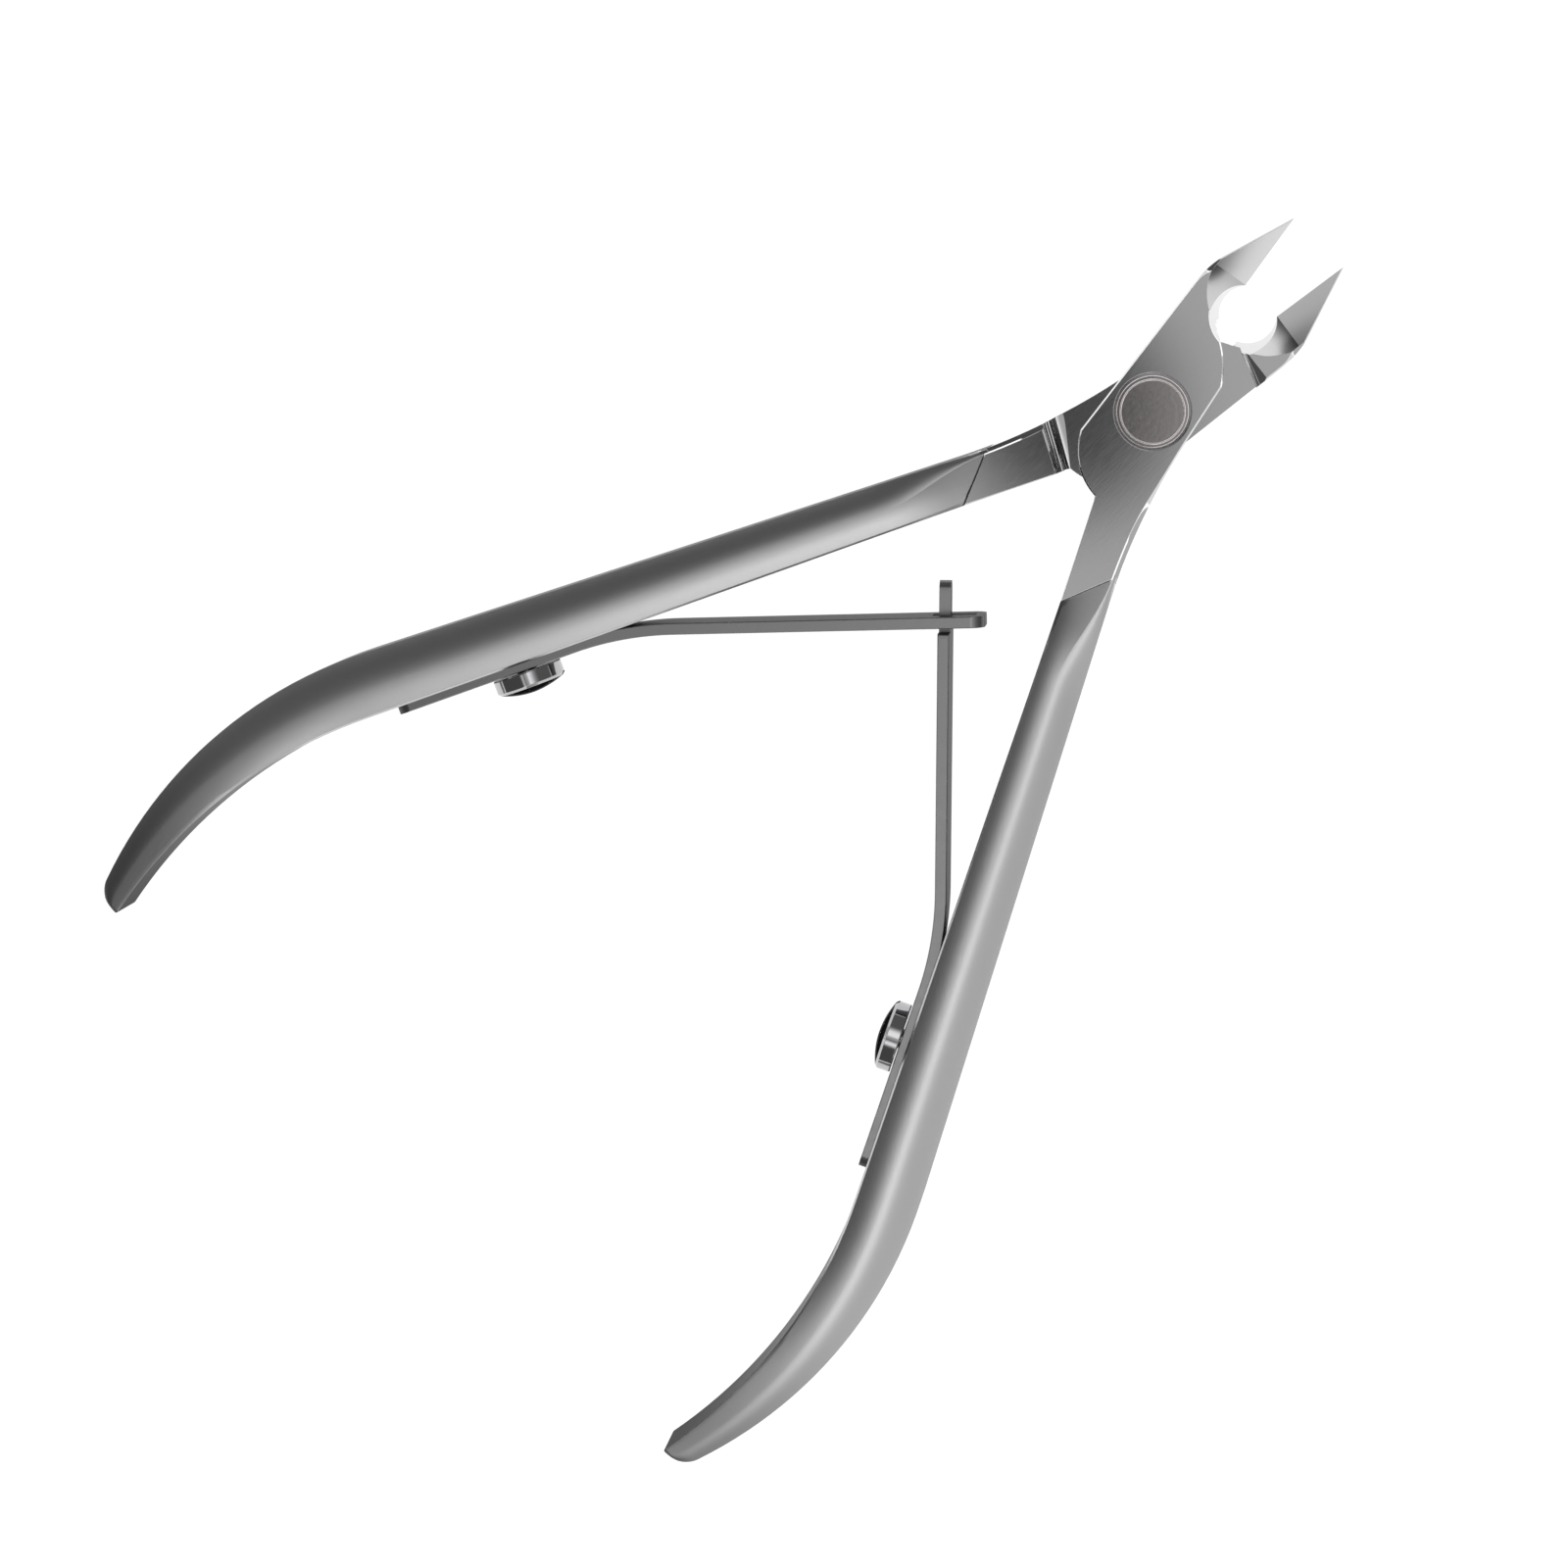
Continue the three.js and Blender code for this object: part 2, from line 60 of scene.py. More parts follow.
# Handles, for the front half, with the edge lines as distances from the symmetry axis. Each
# straight edge is a point and an angle, and then bends inwards on an arc.
HANDLE_END_X = -95.2
END_CORNER_R = 1.6
INNER_LINE = dict(x=-10.2, y=2.575, angle=math.radians(25.84))
INNER_BEND = dict(x=-66.6, radius=47.0)
OUTER_LINE = dict(x=-14.5, y=9.04, angle=math.radians(27.46))
OUTER_BEND = dict(x=-62.4, radius=41.0)
SHOULDER_R = 58.0  # hollow curve from the joint to the straight outer edge
HANDLE_START_X = -12.0
MORPH_END_X = -22.5  # the section has turned from a box into a D by here
SWELL_END_X = -48.0  # and has its full height by here
FLAT_END = dict(inner=-16.8, outer=-12.4)  # where the flats' oblique end meets each edge
# Sections: the crown's place as a share of the width, its half height, and how it falls to the
# edges, as slopes there or as depths
D_SECTION = dict(ridge=0.42, crown=3.35, inner_slope=0.27, outer_slope=0.67)
BOX_SECTION = dict(ridge=0.9, crown=2.88, inner_fall=0.04, outer_fall=0.26)
END_SLIMMING = 0.2  # share of the height lost along the curved end
END_SHADE_X = -74.0  # painted shade makes the handles greyer from here to their ends
END_FLATTENING = 0.92  # loss of the inner slope along the curved end
END_FLAT_LENGTH = 8.0  # stretch before the end whose inner slope no longer changes
INNER_STRIP = dict(width=0.45, drop=0.16)  # slope along the inner edge of each handle
END_BEVEL = 0.3
MIN_HALF_HEIGHT = 0.1  # of the handle's section at its bevelled end
RIDGE_STEPS = 7  # points from the handle's inner edge to its crown
CROWN_STEPS = 24  # points from the crown to the outer edge
# Sections of the handle, as (X where a stretch ends, number of steps in it)
HANDLE_STEPS = ((MORPH_END_X, 16), (OUTER_BEND["x"], 28), (HANDLE_END_X + END_CORNER_R, 24))
END_STEPS = dict(corner=8, bevel=4)

# Joint outline of the front half
JAW_BULGE = dict(start=(13.6, 4.77), peak=(12.0, 5.31), end=(10.0, 5.07))  # control points
HANDLE_SIDE_BOSS = dict(centre=(-2.8, -1.8), radius=5.6, start=116, end=177)
JAW_SIDE_BOSS = dict(centre=(1.1, 4.05), radius=8.0, start=-57, end=-22.8)
INNER_CORNER = (-8.75, -1.77)  # between the handles
JAW_SHOULDER = dict(start=10.2, peak=12.6, width=0.42)  # sloped band outside the blade's flat
HANDLE_SHOULDER = dict(start=-2.0, full=-8.5, width=0.34)  # sloped band before the handle
SHOULDER_DROP = 0.6  # fall of both bands, as a share of the handle's band width
TIP_CHAMFER = 0.25  # share of the full chamfer that is left at the blade's tip
CORNER_CHAMFERS = dict(inner_corner=0.04, flat_end=0.1)
SHOULDER_STEPS = 16
BULGE_STEPS = 12
JAW_SIDE_STEPS = 6
LEAST_CORNER = 0.35  # limit to how far an inset moves a sharp corner

# Blades
TIP = (19.6, 2.93)
EDGE_ANGLE = math.radians(8.4)  # between each cutting edge and the symmetry axis
EDGE_Z = 0.3  # height of the cutting edges
CUSP_X = 12.75  # end of the cutting edge at the throat
FACET_SLOPE = math.radians(61.5)
BLADE_BEVEL = 0.2
SCOOP = dict(radius=4.8, start=13.15)  # start is where the flat facet ends, along the edge
THROAT = dict(x=11.15, bottom_r=2.42, top_r=3.15)

# Steps beside the lap plates. Two plan points give each line: the jaw's wall, and the handle's
# step at its foot and at the face.
JAW_STEP = (Vector((9.0, 0.89)), Vector((7.5, 4.54)))
HANDLE_STEP_FOOT = (Vector((-8.54, -1.38)), Vector((-6.52, -4.86)))
HANDLE_STEP_TOP = (Vector((-9.13, -2.26)), Vector((-7.32, -5.66)))
# Two concave fillets of the handle step: depths from the face, and shares of its plan width
STEP_FILLETS = ((LIP, 1.2, 1.0, 0.52), (1.45, MID_Z + LAP_GAP / 2, 0.4, 0.0))
STEP_FILLET_STEPS = 12
STEP_FACET = ((8.98, 1.69), (8.5, 5.6), (6.9, 6.0), 0.7)  # plan of its top, and its depth
# How far the room under the lap plate runs past the ends of both walls, and its open sides
POCKET = dict(past_jaw=8.0, before_jaw=2.5, past_face=7.0, before_face=3.0)
POCKET.update(handle_x=-11.0, open_y=-9.0)
# Hollow beside the front half's jaw step, which clears the other half when the blades close
RELIEF = dict(top_z=2.0, outline=[(8.4, 0.5), (9.9, 0.5), (9.7, 1.1), (9.0, 1.56), (8.4, 2.2)])

# Pivot rivet
RIVET = dict(head_r=3.1, head_h=1.2, shank_r=1.7, tail_r=2.5, tail_h=0.7, clearance=0.08)
RIVET_EDGE = 0.14  # bevel round its head and tail
RIVET_BEAD = dict(outer_r=2.76, inner_r=2.6, height=0.06)  # raised ring on the rivet's face
RIVET_PROUD = 0.05  # how far the head's face stands above the plate

# Leaf springs and their screws
LEAF = dict(thick=1.0, width=5.0, seat_gap=0.1, bend_r=28.0, arm_angle=math.radians(43.9))
LEAF_EDGE = 0.07  # bevel along the leaf's edges
LEAF_STEP = 0.6  # length of the leaf between sections
LEAF_TRIM = 0.01  # how far a leaf's cutter stands outside its edges
BLEND_REACH = 4.0  # half the length round the arm's hinge at which blend_leaf finds points; the leaf is not bent
LEAF_TURN = LEAF["arm_angle"] - INNER_LINE["angle"]
SEAT = dict(depth=0.4, width=5.2, end_gap=0.3, past_bend=5.6)  # milled under the leaf's root
LEAF_OFFSET = LEAF["seat_gap"] + LEAF["thick"] / 2 - SEAT["depth"]
CROSSING_X = -25.1  # where the leaves cross on the symmetry axis
ROOT_LENGTH = 16.7  # straight stretch behind the bend
SCREW_BACK = 5.1  # from the start of the bend back to the screw
ARM_PAST_CROSSING = 3.46
ARM_HINGE_S = LEAF["bend_r"] * math.radians(11)  # the arm's hinge, part of the way round the bend
LEAF_CORNER_R = 1.3
SLOT = dict(width=2.0, before=1.05, after=2.7)  # lengths before and after the crossing
TONGUE = dict(width=1.6, before=0.95, shoulder_r=0.2)
SCREW = dict(head_r=3.1, rim_h=1.4, dome_h=0.6, shank_r=0.9, length=3.8, gap=0.1, bevel=0.22)
SCREW_CHAMFER = dict(end=0.2, foot=0.1)  # at the shank's end and at the foot of the rim
DOME_STEPS = 12
SCREW_HOLE = dict(radius=1.2, depth=3.1)
DRIVE_SLOT = dict(width=0.8, depth=0.9, reach=1.5)  # reach as a share of the head's radius

ROUND_SIDES = 128
HOLE_SIDES = 48
AXIS_R = 0.001  # radius that closes a turned solid at its axis
CURVE_STEP = math.radians(3)

# Camera: an 85 mm lens above the tool, leaning a little towards the blades
CAMERA = dict(lens=85.0, target=(-45.158, -0.019, 3.0), distance=320.98)
CAMERA_TILT = math.radians(10.708)
CAMERA_TOWARDS = math.radians(3.489)
CAMERA_ROLL = math.radians(-44.871)

FLOOR_Z = MID_Z - D_SECTION["crown"]  # underside of the handles
FLOOR_HALF = 1.5  # metres

# Shading: which faces get which steel, and where edges stay sharp
HALF_SHARP_ANGLE = 14  # degrees between faces, above which an edge stays sharp
SMALL_SHARP_ANGLE = 20  # the same for the rivet, leaves and screws
# The last index is for satin with painted shade beside the flats' oblique end
GROUND, SATIN, FACET, SCOOPED, CREASE_SHADE = range(5)
RIM, DOME = range(2)
CHAMFER_RISE = (0.2, 0.9)  # vertical share of the normals on the ground flats' chamfers
BLADE_ROOM = 2.0  # how far behind the throat's centre the blade's faces may lie
FACET_MATCH = 0.999  # least cosine between a face of the blade's facet and the facet's plane
SCOOP_MATCH = 0.02  # largest share of a scoop's normal along the scoop's axis
SCOOP_RISE = 0.1  # least vertical share of a scoop's normal
HANDLE_GREY = 0.62
PAINTED_SHADE_GREY = 0.34  # painted shade beside the flats' oblique end and along the curved end
# X span over which the scoops' painted shade goes from light at the first X to dark at the second
SCOOP_SHADE_SPAN = (SCOOP["start"] - 2.4, SCOOP["start"] - 0.5)


# ---- Solids ---------------------------------------------------------------------------------


def add_object(name, points, faces):
    """A mesh object in the scene, from points and faces"""
    mesh = bpy.data.meshes.new(name)
    mesh.from_pydata([tuple(point) for point in points], [], faces)
    mesh.validate()
    made = bpy.data.objects.new(name, mesh)
    bpy.context.scene.collection.objects.link(made)
    return made


def loft(name, rings):
    """A closed solid through rings with the same number of points"""
    count = len(rings[0])
    points = [point for ring in rings for point in ring]
    faces = [tuple(reversed(range(count)))]
    for r in range(len(rings) - 1):
        for i in range(count):
            a = r * count + i
            b = r * count + (i + 1) % count
            faces.append((a, b, b + count, a + count))
    last = (len(rings) - 1) * count
    faces.append(tuple(range(last, last + count)))
    return add_object(name, points, faces)


def layered(name, layers):
    """A solid through plans given as (z, outline), from the lowest upwards"""
    return loft(name, [[(x, y, z) for x, y in outline] for z, outline in layers])


def turned(name, profile, sides=ROUND_SIDES):
    """A solid of revolution about Z from [radius, z] points, upwards from the axis to the axis"""
    rings = []
    for radius, z in profile:
        angles = [2 * math.pi * i / sides for i in range(sides)]
        rings.append([(radius * math.cos(a), radius * math.sin(a), z) for a in angles])
    return loft(name, rings)


def change(base, cutter, operation):
    """Joins or cuts the base with the cutter, which is used up"""
    step = base.modifiers.new("step", "BOOLEAN")
    step.operation = operation
    step.solver = "MANIFOLD"
    step.object = cutter
    bpy.context.view_layer.update()
    depsgraph = bpy.context.evaluated_depsgraph_get()
    mesh = bpy.data.meshes.new_from_object(base.evaluated_get(depsgraph))
    base.modifiers.clear()
    old = base.data
    base.data = mesh
    bpy.data.meshes.remove(old)
    used = cutter.data
    bpy.data.objects.remove(cutter)
    bpy.data.meshes.remove(used)
    return base


def cut(base, *cutters):
    """Cuts the base with each cutter in turn"""
    for cutter in cutters:
        change(base, cutter, "DIFFERENCE")
    return base


def moved(made, matrix):
    """The solid with its points moved by the matrix, and its faces still pointing out"""
    made.data.transform(matrix)
    if matrix.determinant() < 0:
        made.data.flip_normals()
    return made


def mirrored(made):
    """The same solid on the other side of the plane y = 0"""
    return moved(made, Matrix.Diagonal((1, -1, 1, 1)))


def turned_over(made):
    """The same solid turned over about the symmetry axis in the mid plane"""
    return moved(made, Matrix.Translation((0, 0, PLATE)) @ Matrix.Rotation(math.pi, 4, "X"))


def frame_matrix(origin, x, y, z):
    """Matrix that puts the axes on the vectors x, y and z, at the origin given"""
    matrix = Matrix((x, y, z)).transposed().to_4x4()
    matrix.translation = origin
    return matrix


# ---- Handle of the front half, on the -Y side -----------------------------------------------


def smooth(value, start, end):
    """0 before start, 1 after end, with a soft S between"""
    t = min(1.0, max(0.0, (value - start) / (end - start)))
    return t * t * (3 - 2 * t)


def line_y(line, x):
    """Distance of a handle's straight edge line from the symmetry axis"""
    return line["y"] + math.tan(line["angle"]) * (line["x"] - x)


def bent_edge(line, bend, x):
    """Distance of a handle's edge: its line, then the arc that bends it inwards"""
    if x > bend["x"]:
        return line_y(line, x)
    centre_x = bend["x"] - bend["radius"] * math.sin(line["angle"])
    centre_y = line_y(line, bend["x"]) - bend["radius"] * math.cos(line["angle"])
    return centre_y + math.sqrt(bend["radius"] ** 2 - (x - centre_x) ** 2)


def inner_edge(x):
    """Distance of the handle's inner edge from the symmetry axis"""
    return bent_edge(INNER_LINE, INNER_BEND, x)


def outer_edge(x):
    """Distance of the outer edge: the shoulder's arc, the bent line, then the end's corner"""
    if x > OUTER_LINE["x"]:
        centre_x = OUTER_LINE["x"] + SHOULDER_R * math.sin(OUTER_LINE["angle"])
        centre_y = OUTER_LINE["y"] + SHOULDER_R * math.cos(OUTER_LINE["angle"])
        return centre_y - math.sqrt(SHOULDER_R**2 - (x - centre_x) ** 2)
    into_corner = max(0.0, END_CORNER_R - (x - HANDLE_END_X))
    corner = END_CORNER_R - math.sqrt(max(0.0, END_CORNER_R**2 - into_corner**2))
    return bent_edge(OUTER_LINE, OUTER_BEND, x) - corner


def ridge_share(x):
    """Share of the handle's width, from its inner edge, where its crown lies"""
    blend = smooth(-x, -HANDLE_START_X, -MORPH_END_X)
    return BOX_SECTION["ridge"] + (D_SECTION["ridge"] - BOX_SECTION["ridge"]) * blend


def handle_section(x):
    """Half of the handle's section as (share of the width, half height), from its inner edge"""
    width = outer_edge(x) - inner_edge(x)
    blend = smooth(-x, -HANDLE_START_X, -MORPH_END_X)
    ridge = ridge_share(x)
    swell = smooth(-x, -HANDLE_START_X, -SWELL_END_X)
    crown = BOX_SECTION["crown"] + (D_SECTION["crown"] - BOX_SECTION["crown"]) * swell
    flatter = 1 - END_FLATTENING * smooth(-x, -INNER_BEND["x"], -HANDLE_END_X - END_FLAT_LENGTH)
    inner_fall = D_SECTION["inner_slope"] * flatter * ridge * width / 2
    outer_fall = D_SECTION["outer_slope"] * (1 - ridge) * width / 2
    inner_wall = crown - BOX_SECTION["inner_fall"] * (1 - blend) - inner_fall * blend
    outer_wall = crown - BOX_SECTION["outer_fall"] * (1 - blend) - outer_fall * blend
    strip = INNER_STRIP["width"] / width
    half = [(0.0, inner_wall - INNER_STRIP["drop"] * blend * flatter)]
    for i in range(RIDGE_STEPS):
        share = strip + (1 - strip) * i / RIDGE_STEPS
        half.append((ridge * share, crown - (crown - inner_wall) * (1 - share) ** 2))
    for i in range(CROWN_STEPS + 1):
        share = i / CROWN_STEPS
        fall = (crown - outer_wall) * share**2
        half.append((ridge + (1 - ridge) * share, crown - fall))
    return half


def handle_ring(x, inset=0.0):
    """Section of the handle at x, shrunk on every side by the inset"""
    slimmer = 1 - END_SLIMMING * smooth(-x, -OUTER_BEND["x"], -HANDLE_END_X)
    inner = inner_edge(x) + inset
    across = outer_edge(x) - inset - inner
    lower = []
    upper = []
    for share, half_height in handle_section(x):
        height = max(MIN_HALF_HEIGHT, half_height * slimmer - inset)
        lower.append((x, -(inner + share * across), MID_Z - height))
        upper.append((x, -(inner + share * across), MID_Z + height))
    return lower + upper[::-1]


def handle():
    """The handle as a loft, with a rounded and bevelled end"""
    stations = [HANDLE_START_X]
    for reach, steps in HANDLE_STEPS:
        start = stations[-1]
        stations += [start + (reach - start) * i / steps for i in range(1, steps + 1)]
    stations.pop()
    rings = [handle_ring(x) for x in stations]
    for i in range(END_STEPS["corner"] + 1):
        turn = i / END_STEPS["corner"] * math.pi / 2
        x = HANDLE_END_X + END_BEVEL + (END_CORNER_R - END_BEVEL) * (1 - math.sin(turn))
        rings.append(handle_ring(x))
    for i in range(1, END_STEPS["bevel"] + 1):
        turn = i / END_STEPS["bevel"] * math.pi / 2
        x = HANDLE_END_X + END_BEVEL * (1 - math.sin(turn))
        rings.append(handle_ring(x, END_BEVEL * (1 - math.cos(turn))))
    return loft("handle", rings)


# ---- Head -----------------------------------------------------------------------------------


def arc(centre, radius, start, end):
    """Points along an arc between two angles in degrees"""
    count = math.ceil(math.radians(abs(end - start)) / CURVE_STEP)
    angles = [math.radians(start + (end - start) * i / count) for i in range(count + 1)]
    return [(centre[0] + radius * math.cos(a), centre[1] + radius * math.sin(a)) for a in angles]


def bulge():
    """Points along the curve outside the throat, from the blade's outer corner"""
    start, peak, end = (Vector(JAW_BULGE[key]) for key in ("start", "peak", "end"))
    points = []
    for i in range(BULGE_STEPS + 1):
        t = i / BULGE_STEPS
        points.append(tuple(start * (1 - t) ** 2 + peak * 2 * t * (1 - t) + end * t**2))
    return points


def jaw_side():
    """Points along the blade's outer edge from the tip, close enough for its tapering band"""
    start = Vector(JAW_BULGE["start"])
    return [tuple(Vector(TIP).lerp(start, i / JAW_SIDE_STEPS)) for i in range(JAW_SIDE_STEPS)]


def head_outline():
    """Plan of the front half anticlockwise from the tip, as (x, y, chamfer, shoulder width)"""
    plain = EDGE_CHAMFER
    outline = []
    for x, y in jaw_side() + bulge():
        rise = smooth(x, JAW_SHOULDER["start"], JAW_SHOULDER["peak"])
        fall = (TIP[0] - x) / (TIP[0] - JAW_SHOULDER["peak"])
        chamfer = plain * min(1, TIP_CHAMFER + fall)
        outline.append((x, y, chamfer, JAW_SHOULDER["width"] * min(rise, fall)))
    outline += [(x, y, plain, 0) for x, y in arc(**HANDLE_SIDE_BOSS)]
    outline.append((*INNER_CORNER, CORNER_CHAMFERS["inner_corner"], 0))
    inner_end = FLAT_END["inner"]
    outline.append((inner_end, -inner_edge(inner_end), CORNER_CHAMFERS["flat_end"], 0))
    for i in range(SHOULDER_STEPS + 1):
        x = FLAT_END["outer"] * (1 - i / SHOULDER_STEPS)
        width = HANDLE_SHOULDER["width"] * smooth(
            -x, -HANDLE_SHOULDER["start"], -HANDLE_SHOULDER["full"]
        )
        outline.append((x, -outer_edge(x), plain, width))
    outline += [(x, y, plain, 0) for x, y in arc(**JAW_SIDE_BOSS)]
    outline.append((THROAT["x"], JAW_STEP[0].y, plain, 0))
    outline.append((CUSP_X, CUSP_X * math.tan(EDGE_ANGLE), plain, 0))
    return outline


def inset_outline(outline, distances):
    """The outline with each point moved inwards by its own distance, keeping corners sharp"""
    count = len(outline)
    moved_points = []
    for i in range(count):
        here = Vector(outline[i][:2])
        before = (here - Vector(outline[i - 1][:2])).normalized()
        after = (Vector(outline[(i + 1) % count][:2]) - here).normalized()
        inward = Vector((-before.y - after.y, before.x + after.x)).normalized()
        stretch = 1 / max(LEAST_CORNER, inward.dot(Vector((-after.y, after.x))))
        moved_points.append(tuple(here + inward * distances[i] * stretch))
    return moved_points


def head():
    """The flat plate of the joint and jaw, with its sloped bands and chamfers on both faces"""
    outline = head_outline()
    full = [(x, y) for x, y, _, _ in outline]
    drop = SHOULDER_DROP * HANDLE_SHOULDER["width"] + EDGE_CHAMFER
    at_band = inset_outline(outline, [band for *_, band in outline])
    at_flat = inset_outline(outline, [band + chamfer for _, _, chamfer, band in outline])
    lower = [(0, at_flat), (EDGE_CHAMFER, at_band), (drop, full)]
    upper = [(PLATE - z, ring) for z, ring in reversed(lower)]
    return layered("head", lower + upper)


# ---- Cuts -----------------------------------------------------------------------------------


def along(line, distance):
    """Point on the line through two points, at a distance from the first"""
    return line[0] + (line[1] - line[0]).normalized() * distance


def lap_pocket():
    """Room under the front half's lap plate: a concave step towards the handle, a wall towards
    the jaw, and a chamfered lip at both"""
    side = Vector((JAW_STEP[1].y - JAW_STEP[0].y, JAW_STEP[0].x - JAW_STEP[1].x)).normalized()
    roof = MID_Z + LAP_GAP / 2

    def plan(fillet, lip):
        """Plan at one depth: fillet is 0 at the handle step's foot and 1 at the face"""
        face = [foot.lerp(top, fillet) for foot, top in zip(HANDLE_STEP_FOOT, HANDLE_STEP_TOP)]
        back = (HANDLE_STEP_TOP[0] - HANDLE_STEP_FOOT[0]).normalized() * lip
        face = [point + back for point in face]
        jaw = [point + side * lip for point in JAW_STEP]
        jaw_start, jaw_end = along(jaw, -POCKET["before_jaw"]), along(jaw, POCKET["past_jaw"])
        corners = [jaw_start, jaw_end, Vector((POCKET["handle_x"], jaw_end.y))]
        corners += [along(face, -POCKET["before_face"]), along(face, POCKET["past_face"])]
        corners.append(Vector((jaw_start.x, POCKET["open_y"])))
        return [tuple(corner) for corner in corners]

    layers = [(-LIP, plan(1, 2 * LIP)), (0, plan(1, LIP))]
    for low, high, outer, inner in STEP_FILLETS:
        for i in range(STEP_FILLET_STEPS + 1):
            turn = i / STEP_FILLET_STEPS * math.pi / 2
            z = low + (high - low) * math.sin(turn)
            layers.append((min(z, roof), plan(inner + (outer - inner) * math.cos(turn), 0)))
    return layered("pocket", layers)


def step_facet():
    """Sloped facet beside the jaw step, under the front half"""
    crease, outer, foot, depth = STEP_FACET
    points = [(*crease, -1), (*outer, -1), (*foot, -1), (*crease, 0), (*outer, 0), (*foot, depth)]
    faces = [(0, 2, 1), (3, 4, 5), (0, 1, 4, 3), (1, 2, 5, 4), (2, 0, 3, 5)]
    return add_object("facet", points, faces)


def blade_cut():
    """The grinding cut over the front blade: a plane rising outwards from the cutting edge,
    ending towards the joint in a cylindrical scoop"""
    radius, start = SCOOP["radius"], SCOOP["start"]
    curve = arc((start, radius), radius, 180, 270)
    profile = [(start - radius, OUTSIDE)] + curve + [(OUTSIDE, 0), (OUTSIDE, OUTSIDE)]
    cutter = layered("blade", [(0, profile), (OUTSIDE, profile)])
    radial = Vector((math.cos(EDGE_ANGLE), math.sin(EDGE_ANGLE), 0))
    outward = Vector((-math.sin(EDGE_ANGLE), math.cos(EDGE_ANGLE), 0))
    normal = Vector((0, 0, math.cos(FACET_SLOPE))) - outward * math.sin(FACET_SLOPE)
    down_slope = radial.cross(normal)
    origin = Vector((0, 0, EDGE_Z)) - down_slope * OUTSIDE / 2
    return moved(cutter, frame_matrix(origin, radial, normal, down_slope))


def blade_bevel():
    """Narrow bevel where the ground facet of the front blade meets its outer wall"""

    def on_facet(x, y):
        """Point of the ground facet over a point of the plan"""
        outward = y * math.cos(EDGE_ANGLE) - x * math.sin(EDGE_ANGLE)
        return Vector((x, y, EDGE_Z + outward * math.tan(FACET_SLOPE)))

    tip, root = on_facet(*TIP), on_facet(*JAW_BULGE["start"])
    ahead = (tip - root).normalized()
    wall = Vector((-ahead.y, ahead.x, 0)).normalized()
    normal = (wall + ahead.cross(wall)).normalized()
    half = OUTSIDE / 2
    plan = [(-half, 0), (half, 0), (half, half), (-half, half)]
    cutter = layered("bevel", [(-half, plan), (half, plan)])
    middle = (tip + root) / 2 - normal * BLADE_BEVEL
    return moved(cutter, frame_matrix(middle, ahead, normal, ahead.cross(normal)))


def throat_cut():
    """The conical throat between the blades and the joint, wider at the front, with broken edges"""
    lip = LIP / 2
    low, high = THROAT["bottom_r"], THROAT["top_r"]
    below, above = -PAST_FACE, PLATE + PAST_FACE
    profile = [(AXIS_R, below), (low + lip + PAST_FACE, below), (low, lip)]
    profile += [(high, PLATE - lip), (high + lip + PAST_FACE, above), (AXIS_R, above)]
    cone = turned("throat", profile)
    return moved(cone, Matrix.Translation((THROAT["x"], 0, 0)))


def rivet_bore(seat_r, seat_z, at_front):
    """The rivet's bore, with the wide seat of its head at the front or of its tail at the back"""
    shank = RIVET["shank_r"] + RIVET["clearance"]
    wide = seat_r + RIVET["clearance"]
    lower, upper = (shank, wide) if at_front else (wide, shank)
    lip = LIP / 2
    below, above = -PAST_FACE, PLATE + PAST_FACE
    profile = [(AXIS_R, below), (lower + PAST_FACE + lip, below), (lower, lip)]
    profile += [(lower, seat_z), (upper, seat_z), (upper, PLATE - lip)]
    profile += [(upper + PAST_FACE + lip, above), (AXIS_R, above)]
    return turned("bore", profile)


def screw_mounting():
    """Hole for the spring's screw and the shallow seat for the leaf's root"""
    depth = SCREW_HOLE["depth"]
    radius = SCREW_HOLE["radius"]
    profile = [(AXIS_R, -depth), (radius, -depth), (radius, 1), (AXIS_R, 1)]
    hole = turned("hole", profile, HOLE_SIDES)
    start = SCREW_BACK - ROOT_LENGTH - SEAT["end_gap"]
    end = SCREW_BACK + SEAT["past_bend"]
    half = SEAT["width"] / 2
    plan = [(start, -half), (end, -half), (end, half), (start, half)]
    change(hole, layered("seat", [(0, plan), (LEAF["width"], plan)]), "UNION")
    return moved(hole, screw_place(-LEAF["seat_gap"] - LEAF["thick"] / 2))


def uncut_body(name):
    """Head and handle in one, with only the spring's mounting cut"""
    body = change(head(), handle(), "UNION")
    body.name = name
    return cut(body, mirrored(screw_mounting()))


def front_half():
    """The half with the upper lap plate and the handle on the -Y side"""
    body = uncut_body("front_half_steel")
    bore = rivet_bore(RIVET["head_r"], PLATE - RIVET["head_h"], True)
    relief = layered("relief", [(z, RELIEF["outline"]) for z in (-1, RELIEF["top_z"])])
    blade = (blade_cut(), blade_bevel())
    return cut(body, lap_pocket(), step_facet(), throat_cut(), *blade, bore, relief)


def back_half():
    """The half with the lower lap plate: the same body turned over, with its throat and blade
    cut from the front"""
    body = turned_over(uncut_body("back_half_steel"))
    bore = rivet_bore(RIVET["tail_r"], RIVET["tail_h"], False)
    pocket = turned_over(lap_pocket())
    facet = turned_over(step_facet())
    blade = (mirrored(blade_cut()), mirrored(blade_bevel()))
    return cut(body, pocket, facet, throat_cut(), *blade, bore)


